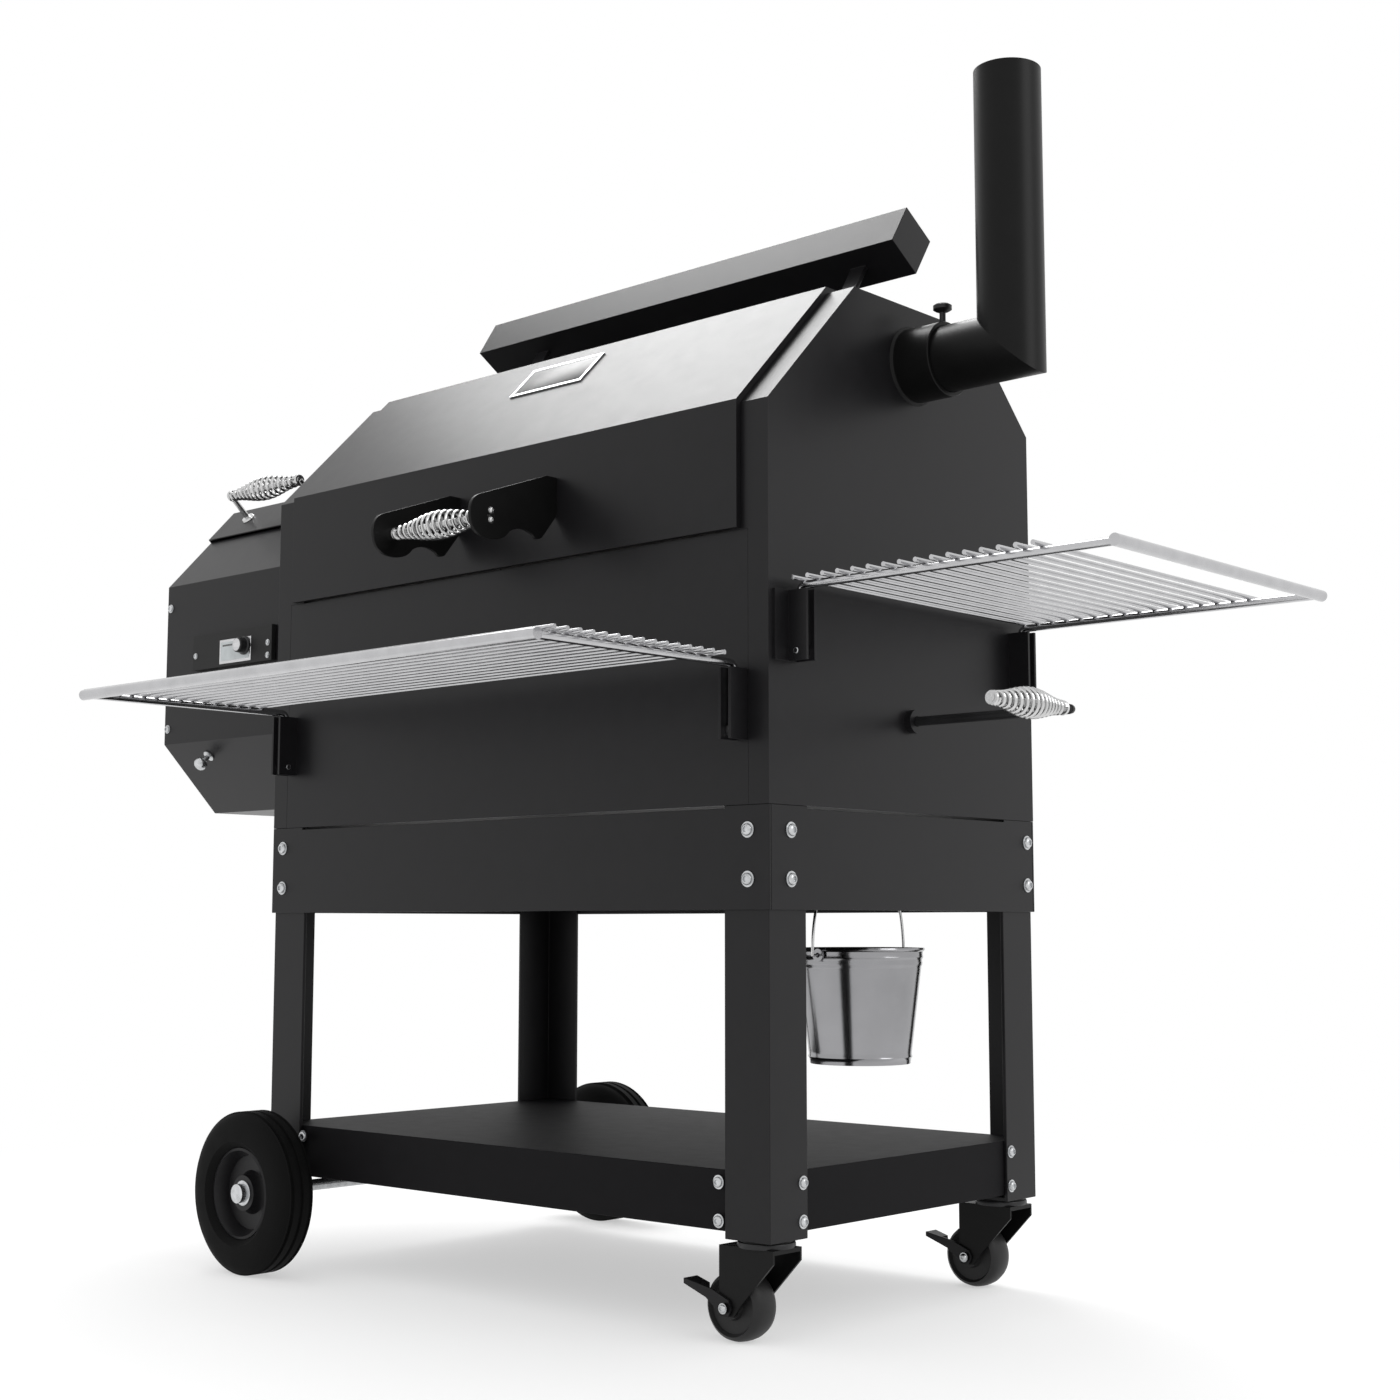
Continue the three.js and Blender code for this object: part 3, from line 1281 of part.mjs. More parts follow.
// ---------------------------------------------------------------- grease bucket
function bucket() {
  const [z0, z1] = [bucketTop - bucketHeight, bucketTop];
  const wall = bucketWall;
  const profile = [
    [0, z0], [bucketBase, z0], [bucketRim - 2, z1 - 5], [bucketRim, z1 - 4], [bucketRim, z1],
    [bucketRim - wall, z1], [bucketRim - wall - 2, z1 - 5], [bucketBase - wall, z0 + wall], [0, z0 + wall],
  ];
  const pail = turnedRing(profile, "z", 40).translate(bucketX, bucketY, 0);
  const earZ = bucketTop - earDrop;
  const across = (side, from, to, radius) =>
    rod([bucketX, bucketY + side * from, earZ], [bucketX, bucketY + side * to, earZ], radius, 12);
  const ears = [-1, 1].map((side) => across(side, bucketRim - 3, bucketRim + 7, 6));
  const eyes = [-1, 1].map((side) => across(side, bucketRim + 2, bucketRim + 9, bailWire + running));
  return cut(join(pail, ...ears), ...eyes);
}
add("bucket", bucket(), stainless());

// Bail: a wire arch between the bucket's ears, hung on the hook at its top.
function bail() {
  const reach = bucketRim + 12;
  const base = bucketTop - earDrop;
  const points = [[bucketX, bucketY - bucketRim - 4, base]];
  const steps = 10;
  for (let i = 0; i <= steps; i += 1) {
    const angle = Math.PI * (1 - i / steps);
    const y = bucketY + Math.cos(angle) * reach;
    points.push([bucketX, y, base + Math.sin(angle) * (bailTop - base)]);
  }
  points.push([bucketX, bucketY + bucketRim + 4, base]);
  return bentRod(points, bailWire);
}
add("bail", bail(), stainless());

// Hook and drain spout welded under the chamber's floor.
function drainSpout() {
  const top = bodyBottom - fit;
  const spout = rod([drainX, bucketY, top - 22], [drainX, bucketY, top], drainRadius + 3, 20);
  const low = bailTop - bailWire - hookWire - fit;
  const hook = bentRod(
    [
      [bucketX - 14, bucketY, top - 2], [bucketX - 14, bucketY, low + 6], [bucketX - 8, bucketY, low],
      [bucketX + 8, bucketY, low], [bucketX + 14, bucketY, low + 10],
    ],
    hookWire
  );
  const pad = box(drainX - 4, bucketX - 8, bucketY - 9, bucketY + 9, top - 3, top);
  const bore = rod([drainX, bucketY, top - 28], [drainX, bucketY, top + 1], drainRadius, 20);
  return cut(join(spout, hook, pad), bore);
}
add("drain_spout", drainSpout(), blackPaint());

// ---------------------------------------------------------------- origin
grill.updateMatrixWorld(true);
const bounds = new THREE.Box3().setFromObject(grill, true);
grill.position.set(
  -(bounds.min.x + bounds.max.x) / 2,
  -(bounds.min.y + bounds.max.y) / 2,
  -bounds.min.z
);
grill.updateMatrixWorld(true);

export default grill;
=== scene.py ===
"""Finishes and fine shapes of a pellet smoker grill on a wheeled cart.

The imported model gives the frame. Sheet-metal parts keep their shape and get softened
edges; round, coiled and wire parts are drawn again as smooth surfaces: a profile turned
about an axis, or a circle carried along a path. Metres, +Z up, door facing -Y.
"""

import json
import math

import bmesh
import bpy
import numpy as np
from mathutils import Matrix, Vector


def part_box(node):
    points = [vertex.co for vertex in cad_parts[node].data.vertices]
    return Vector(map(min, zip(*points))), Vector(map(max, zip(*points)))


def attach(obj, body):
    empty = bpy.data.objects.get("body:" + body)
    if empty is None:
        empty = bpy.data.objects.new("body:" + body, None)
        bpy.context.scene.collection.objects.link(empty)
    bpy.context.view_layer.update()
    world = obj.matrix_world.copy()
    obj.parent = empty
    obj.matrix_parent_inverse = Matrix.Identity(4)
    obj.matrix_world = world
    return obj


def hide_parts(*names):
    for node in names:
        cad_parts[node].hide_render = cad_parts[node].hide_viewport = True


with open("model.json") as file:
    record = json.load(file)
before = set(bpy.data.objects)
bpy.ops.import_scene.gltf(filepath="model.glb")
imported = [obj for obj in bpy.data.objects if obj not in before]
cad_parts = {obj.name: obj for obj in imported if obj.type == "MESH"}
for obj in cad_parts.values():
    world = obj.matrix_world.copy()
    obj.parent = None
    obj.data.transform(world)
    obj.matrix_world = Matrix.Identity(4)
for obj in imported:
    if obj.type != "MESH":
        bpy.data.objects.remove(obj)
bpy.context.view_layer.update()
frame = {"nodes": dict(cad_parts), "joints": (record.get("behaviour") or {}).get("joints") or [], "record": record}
scene = bpy.context.scene
MM = 0.001
body_of = {
    node: body
    for body, nodes in frame["record"]["behaviour"]["bodies"].items()
    for node in nodes
}
joint = {j["name"]: j for j in frame["joints"]}


def corners(node):
    """Lowest and highest corner of a node as two arrays."""
    low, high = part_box(node)
    return np.array(low), np.array(high)


def middle(node):
    low, high = corners(node)
    return (low + high) / 2


LEFT = corners("apron_left")[0][0]
RIGHT = corners("apron_right")[1][0]
FRONT = corners("apron_front")[0][1]
BACK = corners("apron_rear")[1][1]

# ------------------------------------------------------------------ finishes


def finish(name, color, roughness, metallic=0.0, grain=40.0, spread=0.15, bump=0.05,
           bump_grain=900.0, stretch=(1, 1, 1), specular=0.5, coat=0.0):
    """A coated or bare surface: slow noise varies its colour and roughness by 'spread',
    and fine noise of 'bump_grain' per metre raises it."""
    material = bpy.data.materials.new(name)
    material.use_nodes = True
    nodes, links = material.node_tree.nodes, material.node_tree.links
    shader = nodes["Principled BSDF"]
    shader.inputs["Metallic"].default_value = metallic
    shader.inputs["Specular IOR Level"].default_value = specular
    shader.inputs["Coat Weight"].default_value = coat
    place = nodes.new("ShaderNodeTexCoord")
    mapping = nodes.new("ShaderNodeMapping")
    mapping.inputs["Scale"].default_value = stretch
    links.new(place.outputs["Object"], mapping.inputs["Vector"])
    slow = nodes.new("ShaderNodeTexNoise")
    slow.inputs["Scale"].default_value = grain
    slow.inputs["Detail"].default_value = 6
    links.new(mapping.outputs["Vector"], slow.inputs["Vector"])
    shade = nodes.new("ShaderNodeValToRGB")
    for stop, factor in zip(shade.color_ramp.elements, (1 - spread, 1 + spread)):
        stop.color = (*[min(1.0, c * factor) for c in color], 1)
    shade.color_ramp.elements[0].position = 0.3
    shade.color_ramp.elements[1].position = 0.7
    links.new(slow.outputs["Fac"], shade.inputs["Fac"])
    links.new(shade.outputs["Color"], shader.inputs["Base Color"])
    rough = nodes.new("ShaderNodeMapRange")
    rough.inputs["To Min"].default_value = roughness * (1 - spread)
    rough.inputs["To Max"].default_value = roughness * (1 + spread)
    links.new(slow.outputs["Fac"], rough.inputs["Value"])
    links.new(rough.outputs["Result"], shader.inputs["Roughness"])
    fine = nodes.new("ShaderNodeTexNoise")
    fine.inputs["Scale"].default_value = bump_grain
    fine.inputs["Detail"].default_value = 3
    links.new(mapping.outputs["Vector"], fine.inputs["Vector"])
    raised = nodes.new("ShaderNodeBump")
    raised.inputs["Strength"].default_value = bump
    raised.inputs["Distance"].default_value = 0.0006
    links.new(fine.outputs["Fac"], raised.inputs["Height"])
    links.new(raised.outputs["Normal"], shader.inputs["Normal"])
    return material


black_paint = finish("satin_black_paint", (0.0075, 0.0072, 0.008), 0.36, spread=0.08, bump=0.1,
                     specular=0.22)
tray_paint = finish("shaded_black_paint", (0.0075, 0.0072, 0.008), 0.55, spread=0.08, bump=0.1,
                    specular=0.06)
pipe_paint = finish("chimney_black_paint", (0.0045, 0.0045, 0.0045), 0.36, spread=0.1, bump=0.12,
                    specular=0.14)
inner_paint = finish("matt_black_paint", (0.012, 0.012, 0.012), 0.6, bump=0.15, specular=0.25)
stainless = finish("drawn_stainless_wire", (0.6, 0.6, 0.6), 0.2, 1.0, spread=0.08, bump=0.02)
# Painted shade: the shelf wire's colour is darker than the other stainless wire. The darker colour stands in for
# the shadows and dark reflections on the shelf tubes.
shelf_steel_painted_shade = finish("shelf_stainless_wire", (0.5, 0.5, 0.51), 0.16, 1.0, spread=0.06, bump=0.02)
pail_steel = finish("rolled_stainless_sheet", (0.3, 0.3, 0.31), 0.16, 1.0, grain=14, spread=0.08,
                    bump=0.03)
brushed = finish("brushed_stainless", (0.6, 0.6, 0.61), 0.3, 1.0, spread=0.12, bump=0.08,
                 bump_grain=160, stretch=(1, 1, 14))
zinc = finish("bright_zinc", (0.55, 0.56, 0.57), 0.28, 1.0, grain=120, bump=0.05)
dark_steel = finish("blackened_steel", (0.02, 0.02, 0.021), 0.4, 0.5, bump=0.08)
tyre_rubber = finish("tyre_rubber", (0.0035, 0.0035, 0.0035), 0.7, spread=0.2, bump=0.2,
                     specular=0.08)
caster_rubber = finish("caster_rubber", (0.012, 0.0118, 0.012), 0.5, spread=0.15, bump=0.1,
                       specular=0.3)
raw_steel = finish("dark_enamelled_steel", (0.09, 0.085, 0.08), 0.5, 0.6, grain=60, spread=0.25,
                   bump=0.2)
display_face = finish("pale_display_face", (0.42, 0.45, 0.46), 0.3, bump=0.0, coat=0.4)
dark_glass = finish("dark_display_glass", (0.01, 0.011, 0.012), 0.12, bump=0.0, coat=1.0)
badge_face = finish("blackened_badge", (0.02, 0.02, 0.02), 0.4, 0.4, bump=0.1)

SLOT_FINISH = {
    "black_paint": black_paint,
    "inner_paint": inner_paint,
    "stainless": stainless,
    "zinc": zinc,
    "tyre": tyre_rubber,
    "caster_tread": caster_rubber,
    "raw_steel": raw_steel,
}
slot_of = {s["node"]: s["material_slot"] for s in frame["record"]["subparts"]}
for node, thing in frame["nodes"].items():
    thing.data.materials.clear()
    thing.data.materials.append(SLOT_FINISH[slot_of[node]])

# ------------------------------------------------------------------ surfaces


def piece(name, parts, material, body, stands_for=(), smooth_below=40):
    """Joins (points, faces) pairs into one object that rides on a body."""
    points, faces, start = [], [], 0
    for p, f in parts:
        points.append(p.reshape(-1, 3))
        faces.extend((np.asarray(f) + start).tolist())
        start += len(points[-1])
    mesh = bpy.data.meshes.new(name)
    mesh.from_pydata(np.concatenate(points).tolist(), [], faces)
    mesh.materials.append(material)
    work = bmesh.new()
    work.from_mesh(mesh)
    bmesh.ops.remove_doubles(work, verts=work.verts, dist=1e-7)
    bmesh.ops.recalc_face_normals(work, faces=work.faces)
    work.to_mesh(mesh)
    work.free()
    mesh.shade_smooth()
    mesh.set_sharp_from_angle(angle=math.radians(smooth_below))
    thing = bpy.data.objects.new(name, mesh)
    scene.collection.objects.link(thing)
    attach(thing, body)
    if stands_for:
        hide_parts(*stands_for)
    return thing


def grid_faces(rows, columns, close_rows=False, close_columns=True):
    """Quads between neighbouring rows and columns of a grid of points."""
    r = np.arange(rows if close_rows else rows - 1)
    c = np.arange(columns if close_columns else columns - 1)
    r, c = np.meshgrid(r, c, indexing="ij")
    r2, c2 = (r + 1) % rows, (c + 1) % columns
    quads = [r * columns + c, r * columns + c2, r2 * columns + c2, r2 * columns + c]
    return np.stack(quads, -1).reshape(-1, 4)


def unit(v):
    return v / np.linalg.norm(v, axis=-1, keepdims=True)


def turned(profile, centre, axis, segments=72):
    """A profile of (radius, height) pairs turned about an axis through a centre: point =
    centre + height * axis + radius * (cos a * side + sin a * other side)."""
    profile = np.array(profile, float)
    axis = unit(np.array(axis, float))
    side = unit(np.cross(axis, (0.0, 0.0, 1.0) if abs(axis[2]) < 0.9 else (1.0, 0.0, 0.0)))
    other = np.cross(axis, side)
    a = np.linspace(0, 2 * np.pi, segments, endpoint=False)
    spokes = np.cos(a)[:, None] * side + np.sin(a)[:, None] * other
    points = (np.array(centre, float) + profile[:, 1, None, None] * axis
              + profile[:, 0, None, None] * spokes[None])
    closed = np.allclose(profile[0], profile[-1])
    if closed:
        points = points[:-1]
    return points, grid_faces(len(points), segments, close_rows=closed)


def tube(path, radius, hint, sides=12, loop=False):
    """A circle carried along a path: at each point it stands square to the path's
    direction, turned so that one spoke is square to the hint vector too. Ends are
    closed by a ring shrunk to a point."""
    path = np.array(path, float)
    radius = np.broadcast_to(np.asarray(radius, float), len(path))
    if loop:
        way = unit(np.roll(path, -1, 0) - np.roll(path, 1, 0))
    else:
        way = unit(np.gradient(path, axis=0))
    across = unit(np.cross(way, np.array(hint, float)))
    up = np.cross(way, across)
    a = np.linspace(0, 2 * np.pi, sides, endpoint=False)
    ring = np.cos(a)[None, :, None] * across[:, None] + np.sin(a)[None, :, None] * up[:, None]
    points = path[:, None] + radius[:, None, None] * ring
    if not loop:
        ends = [np.repeat(path[i][None, None], sides, 1) for i in (0, -1)]
        points = np.concatenate([ends[0], points, ends[1]])
    return points, grid_faces(len(points), sides, close_rows=loop)


def straight(a, b, radius, sides=12):
    a, b = np.array(a, float), np.array(b, float)
    way = unit(b - a)
    hint = (0.0, 0.0, 1.0) if abs(way[2]) < 0.9 else (1.0, 0.0, 0.0)
    return tube(np.linspace(a, b, 2), radius, hint, sides)


def rounded_path(points, bend, steps=8):
    """A polyline whose corners are replaced by curves that start 'bend' before each
    corner: (1-t)^2 before + 2t(1-t) corner + t^2 after."""
    points = [np.array(p, float) for p in points]
    t = np.linspace(0, 1, steps)[:, None]
    rows = [points[0][None]]
    for before, corner, after in zip(points, points[1:], points[2:]):
        start = corner + unit(before - corner) * bend
        end = corner + unit(after - corner) * bend
        rows.append((1 - t) ** 2 * start + 2 * t * (1 - t) * corner + t**2 * end)
    rows.append(points[-1][None])
    return np.concatenate(rows)


def softened(node, width=0.0009, material=None):
    """A copy of a sheet-metal node with its flat faces merged and its edges rounded."""
    source = frame["nodes"][node]
    mesh = source.data.copy()
    mesh.name = node + "_softened"
    work = bmesh.new()
    work.from_mesh(mesh)
    bmesh.ops.remove_doubles(work, verts=work.verts, dist=1e-6)
    bmesh.ops.dissolve_limit(work, angle_limit=0.01, verts=work.verts, edges=work.edges)
    work.to_mesh(mesh)
    work.free()
    mesh.materials.clear()
    mesh.materials.append(material or SLOT_FINISH[slot_of[node]])
    mesh.shade_smooth()
    thing = bpy.data.objects.new(node + "_softened", mesh)
    scene.collection.objects.link(thing)
    edge = thing.modifiers.new("rounded edges", "BEVEL")
    edge.width = width
    edge.segments = 2
    edge.limit_method = "ANGLE"
    edge.angle_limit = math.radians(35)
    flat = thing.modifiers.new("flat faces stay flat", "WEIGHTED_NORMAL")
    flat.weight = 100
    flat.mode = "FACE_AREA"
    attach(thing, body_of[node])
    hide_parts(node)
    return thing


SHEET_METAL = [
    "leg_front_left", "leg_rear_left", "leg_front_right", "leg_rear_right",
    "apron_front", "apron_rear", "apron_left", "apron_right", "shelf_tray",
    "end_plate_left", "end_plate_right", "front_panel", "rear_panel", "door",
    "handle_bracket_left", "handle_bracket_right", "counterweight",
    "hopper_housing", "hopper_lid", "controller_panel",
    "brake_pedal_front", "brake_pedal_rear",
]
HANDLE_BRACKETS = {"handle_bracket_left", "handle_bracket_right"}
for node in SHEET_METAL:
    paint = tray_paint if node == "shelf_tray" else None
    if node in HANDLE_BRACKETS:
        paint = pipe_paint
    softened(node, material=paint)
for end in ("front", "rear"):
    softened(f"caster_fork_{end}", 0.0005, pipe_paint)

# ------------------------------------------------------------------ fasteners


def cap_screw(centre, normal, size=1.0):
    """A domed head on a washer, standing out along a normal, with a round socket."""
    profile = [(0, 0.1), (9.5, 0.1), (9.5, 1.4), (7.4, 1.5), (7.2, 3.2), (6.2, 5.0), (4.2, 6.0),
               (3.4, 6.1), (3.0, 4.2), (0, 4.1)]
    return turned(np.array(profile) * MM * size, centre, normal, 24)


def screws(name, body, places, size=1.0):
    parts = [cap_screw(centre, normal, size) for centre, normal in places]
    return piece(name, parts, zinc, body)


apron_heights = [corners("apron_front")[0][2] + d * MM for d in (35.5, 92.7)]
apron_places = []
for z in apron_heights:
    for x in (RIGHT - 32 * MM, LEFT + 24.5 * MM):
        apron_places.append(((x, FRONT, z), (0, -1, 0)))
        apron_places.append(((x, BACK, z), (0, 1, 0)))
    for y in (FRONT + 39 * MM, BACK - 18 * MM):
        apron_places.append(((RIGHT, y, z), (1, 0, 0)))
        apron_places.append(((LEFT, y, z), (-1, 0, 0)))
screws("apron_screws", "cart", apron_places)

tray_high = corners("shelf_tray")[1]
leg_low, leg_high = corners("leg_front_right")
leg_front, leg_side = leg_low[1], leg_high[0]
tray_places = []
for z in (tray_high[2] - 14 * MM, tray_high[2] - 58 * MM):
    for x in (leg_low[0] - 9 * MM, LEFT + RIGHT - leg_low[0] + 9 * MM):
        tray_places.append(((x, leg_front, z), (0, -1, 0)))
        tray_places.append(((x, FRONT + BACK - leg_front, z), (0, 1, 0)))
    for y in (leg_high[1] - 9 * MM, FRONT + BACK - leg_high[1] + 9 * MM):
        tray_places.append(((leg_side, y, z), (1, 0, 0)))
        tray_places.append(((LEFT + RIGHT - leg_side, y, z), (-1, 0, 0)))
screws("tray_screws", "cart", tray_places, 0.85)

# ------------------------------------------------------------------ coil grips


def coil(centre, axis, length, end_radius, belly_radius, wire, turns):
    """A spring grip: its wire winds about an axis at a radius that swells in the middle
    as the square of a half sine."""
    centre, axis = np.array(centre, float), unit(np.array(axis, float))
    side = unit(np.cross(axis, (0.0, 0.0, 1.0)))
    other = np.cross(axis, side)
    t = np.linspace(0, 1, int(turns * 22))
    radius = end_radius + (belly_radius - end_radius) * np.sin(np.pi * t) ** 2 - wire
    a = 2 * np.pi * turns * t
    path = (centre + (t - 0.5)[:, None] * length * axis
            + (radius * np.cos(a))[:, None] * side + (radius * np.sin(a))[:, None] * other)
    return tube(path, wire, axis, 8)


def spindle(centre, axis, length, radius):
    """A rod with a ferrule at each end."""
    half = length / 2
    lip = 4 * MM
    profile = [(0, -half), (radius, -half), (radius, half), (0, half)]
    parts = [turned(profile, centre, axis, 24)]
    for end in (-1, 1):
        ring = [(0, end * half * 0.93), (radius + lip * 0.8, end * half * 0.93),
                (radius + lip, end * half * 0.95), (radius + lip * 0.8, end * half * 0.985),
                (0, end * half * 0.985)]
        parts.append(turned(ring, centre, axis, 24))
    return parts


def coil_grip(name, node, axis, body, extra=()):
    low, high = corners(node)
    centre = (low + high) / 2
    length = abs(np.dot(high - low, axis)) - 14 * MM
    parts = spindle(centre, axis, length, 5 * MM)
    parts.append(coil(centre, axis, length * 0.9, 9.5 * MM, 19 * MM, 2.1 * MM, 15))
    return piece(name, parts + list(extra), stainless, body, [node])


low, high = corners("door_grip")
ends = [cap_screw((x, middle("door_grip")[1], middle("door_grip")[2] + dz * MM), (s, 0, 0), 0.5)
        for x, s in ((corners("handle_bracket_left")[0][0], -1),
                     (corners("handle_bracket_right")[1][0], 1))
        for dz in (-6, 6)]
coil_grip("door_coil_grip", "door_grip", (1, 0, 0), "door", ends)
coil_grip("damper_coil_grip", "damper_grip", (0, 1, 0), "damper")

# Lid handle: two posts on washers carry the coil.
lid_low, lid_high = corners("lid_handle")
grip_y = lid_low[1] + 19 * MM
grip_z = lid_high[2] - 19 * MM
lid_middle = (lid_low + lid_high) / 2
slope = math.atan2(134, 124)
lean = np.array([0, -math.sin(slope), math.cos(slope)])
grip_at = np.array([lid_middle[0], grip_y, grip_z])
lid_parts = spindle(grip_at, (1, 0, 0), 182 * MM, 5 * MM)
lid_parts.append(coil(grip_at, (1, 0, 0), 164 * MM, 9.5 * MM, 19 * MM, 2.1 * MM, 14))
for s in (-1, 1):
    top = grip_at + np.array([s * 89 * MM, 0, 0])
    foot = top - lean * (52 - 6) * MM
    lid_parts.append(straight(foot, top, 4.5 * MM))
    lid_parts.append(turned([(0, 0), (11 * MM, 0), (10 * MM, 3 * MM), (0, 3.4 * MM)], foot, lean, 24))
piece("lid_coil_handle", lid_parts, stainless, "hopper_lid", ["lid_handle"])

# ------------------------------------------------------------------ chimney

stack_low, stack_high = corners("chimney_stack")
pipe = joint["chimney_turn"]["pos_m"][2] - stack_low[2]
wall = 3 * MM
stack_x = stack_high[0] - pipe
stack_y = (stack_low[1] + stack_high[1]) / 2
axis_z = stack_low[2] + pipe


def mitred_pipe(radius):
    """A level pipe that turns up at a mitre: a circle's points slide along the level
    axis to the plane x - corner = -(z - corner), then up to the mouth."""
    a = np.linspace(0, 2 * np.pi, 96, endpoint=False)
    across, rise = radius * np.cos(a), radius * np.sin(a)
    start = np.stack([np.full_like(a, stack_low[0]), stack_y + across, axis_z + rise], -1)
    corner = np.stack([stack_x - rise, stack_y + across, axis_z + rise], -1)
    mouth = np.stack([stack_x - rise, stack_y + across, np.full_like(a, stack_high[2])], -1)
    near = 0.8 * MM
    return [start, corner - [near, 0, 0], corner, corner + [0, 0, near], mouth]


outer, inner = mitred_pipe(pipe), mitred_pipe(pipe - wall)
pipe_rows = np.stack(outer + inner[::-1])
pipe_mesh = (pipe_rows, grid_faces(len(pipe_rows), 96, close_rows=True))
piece("chimney_pipe", [pipe_mesh], pipe_paint, "chimney", ["chimney_stack"])

collar_low, collar_high = corners("chimney_collar")
bore = pipe + 0.6 * MM
outer_radius = (collar_high[2] - collar_low[2]) / 2
reach = collar_high[0] - collar_low[0]
ring = [(bore, 0), (outer_radius, 0), (outer_radius, reach - 1 * MM), (outer_radius - 1 * MM, reach),
        (bore, reach), (bore, 0)]
weld = [(outer_radius - 1 * MM, 0), (outer_radius + 3.5 * MM, 0), (outer_radius + 1 * MM, 3.5 * MM),
        (outer_radius - 1 * MM, 4 * MM), (outer_radius - 1 * MM, 0)]
collar_at = (collar_low[0], stack_y, axis_z)
piece("chimney_collar_ring",
      [turned(ring, collar_at, (1, 0, 0), 96), turned(weld, collar_at, (1, 0, 0), 96)],
      pipe_paint, "cart", ["chimney_collar"])

# ------------------------------------------------------------------ shelves


def wire_shelf(name, node, side):
    """Two carrying bars that bend down to their eyes, a fat outer tube, and wires laid
    across. 'side' picks which way the shelf reaches: 0 for +X, 1 for -Y."""
    low, high = corners(node)
    bar, wire, fat = 5 * MM, 3.0 * MM, 7 * MM
    level = high[2] - (2 * 3.5 - 1.2) * MM - 5 * MM
    out = (1.0, 0.0) if side == 0 else (0.0, -1.0)
    along = (0.0, 1.0) if side == 0 else (1.0, 0.0)
    face = RIGHT if side == 0 else FRONT
    reach = (high[0] - RIGHT if side == 0 else FRONT - low[1]) - fat
    centre = (low[1] + high[1]) / 2 if side == 0 else (low[0] + high[0]) / 2

    def at(o, a, z):
        if side == 0:
            return (face + o, centre + a, z)
        return (centre + a, face - o, z)

    half = ((high[1] - low[1]) if side == 0 else (high[0] - low[0])) / 2
    bars = {0: 237.6 * MM, 1: (470 - 36 - 5.6) * MM}[side]
    count, first, pitch = {0: (16, 18 * MM, 21.9 * MM), 1: (15, 56 * MM, 19.4 * MM)}[side]
    eye_z = low[2] + 9 * MM
    parts = []
    for s in (-1, 1):
        line = [at(14 * MM, s * bars, eye_z), at(14 * MM, s * bars, level), at(reach, s * bars, level)]
        hint = np.append(along, 0.0)
        parts.append(tube(rounded_path(line, 9 * MM), bar, hint, 16))
        eye = [at(14 * MM, s * bars + d * bar, eye_z) for d in (-1, 1)]
        parts.append(straight(eye[0], eye[1], 9 * MM, 24))
    parts.append(straight(at(reach, -bars - 8 * MM, level), at(reach, bars + 8 * MM, level), fat, 24))
    top = level + bar + wire - 1.0 * MM
    for i in range(count):
        o = first + i * pitch
        parts.append(straight(at(o, -half, top), at(o, half, top), wire, 10))
    body = body_of[node]
    piece(name, parts, shelf_steel_painted_shade, body, [node])
    return at, bars, eye_z


side_at, side_bars, side_eye = wire_shelf("side_wire_shelf", "side_shelf", 0)
front_at, front_bars, front_eye = wire_shelf("front_wire_shelf", "front_shelf", 1)
pivots = []
for s in (-1, 1):
    pivots.append((side_at(14 * MM, s * (side_bars + 5 * MM), side_eye), (0, s, 0)))
    pivots.append((front_at(14 * MM, s * (front_bars - 5 * MM), front_eye), (-s, 0, 0)))
screws("shelf_pivot_screws", "cart", pivots, 0.8)

# ------------------------------------------------------------------ wheels


def rounded_tyre(radius, inner, width):
    """Half ellipse sidewalls from the bead to the tread, with three grooves."""
    half = width / 2
    t = np.linspace(0, np.pi / 2, 14)
    bulge = inner + (radius - inner) * np.sin(t) ** 0.8
    side = -half * np.cos(t) ** 0.45
    wall_rows = [(r, h) for r, h in zip(bulge, side) if h < -half * 0.62]
    tread = []
    for g in (-0.5, 0.0, 0.5):
        h = g * half
        tread += [(radius - 0.4 * MM, h - 3 * MM), (radius - 3.5 * MM, h - 1.8 * MM),
                  (radius - 3.5 * MM, h + 1.8 * MM), (radius - 0.4 * MM, h + 3 * MM)]
    rows = wall_rows + tread + [(r, -h) for r, h in reversed(wall_rows)]
    lip = [(inner, -half * 0.7), (inner + 3 * MM, -half * 0.86)]
    rows = [lip[0], lip[1]] + rows[1:-1] + [(r, -h) for r, h in reversed(lip)] + [lip[0]]
    return rows


def road_wheel(end):
    tyre_low, tyre_high = corners(f"tyre_{end}")
    centre = (tyre_low + tyre_high) / 2
    radius, width = (tyre_high[2] - tyre_low[2]) / 2, tyre_high[1] - tyre_low[1]
    way = (0, -1, 0) if end == "front" else (0, 1, 0)
    inner = 62 * MM
    half = width / 2
    piece(f"{end}_tyre", [turned(rounded_tyre(radius, inner, width), centre, way, 128)],
          tyre_rubber, f"wheel_{end}", [f"tyre_{end}"], 30)
    disc = [(10 * MM, half * 0.55), (24 * MM, half * 0.55), (26 * MM, half * 0.2), (30 * MM, 2 * MM),
            (50 * MM, 4 * MM), (54 * MM, half * 0.55), (58 * MM, half * 0.78), (61.6 * MM, half * 0.74),
            (61.6 * MM, -half * 0.74), (58 * MM, -half * 0.78), (54 * MM, -half * 0.4), (50 * MM, 0),
            (26 * MM, -2 * MM), (24 * MM, -half * 0.5), (10 * MM, -half * 0.5), (10 * MM, half * 0.55)]
    piece(f"{end}_rim", [turned(disc, centre, way, 96)], black_paint, f"wheel_{end}",
          [f"rim_{end}"], 50)
    hub = [(8.6 * MM, half * 0.56), (17 * MM, half * 0.56), (17 * MM, half * 0.59),
           (15.5 * MM, half * 0.61), (8.6 * MM, half * 0.61), (8.6 * MM, half * 0.56)]
    piece(f"{end}_hub_ring", [turned(hub, centre, way, 48)], zinc, f"wheel_{end}")


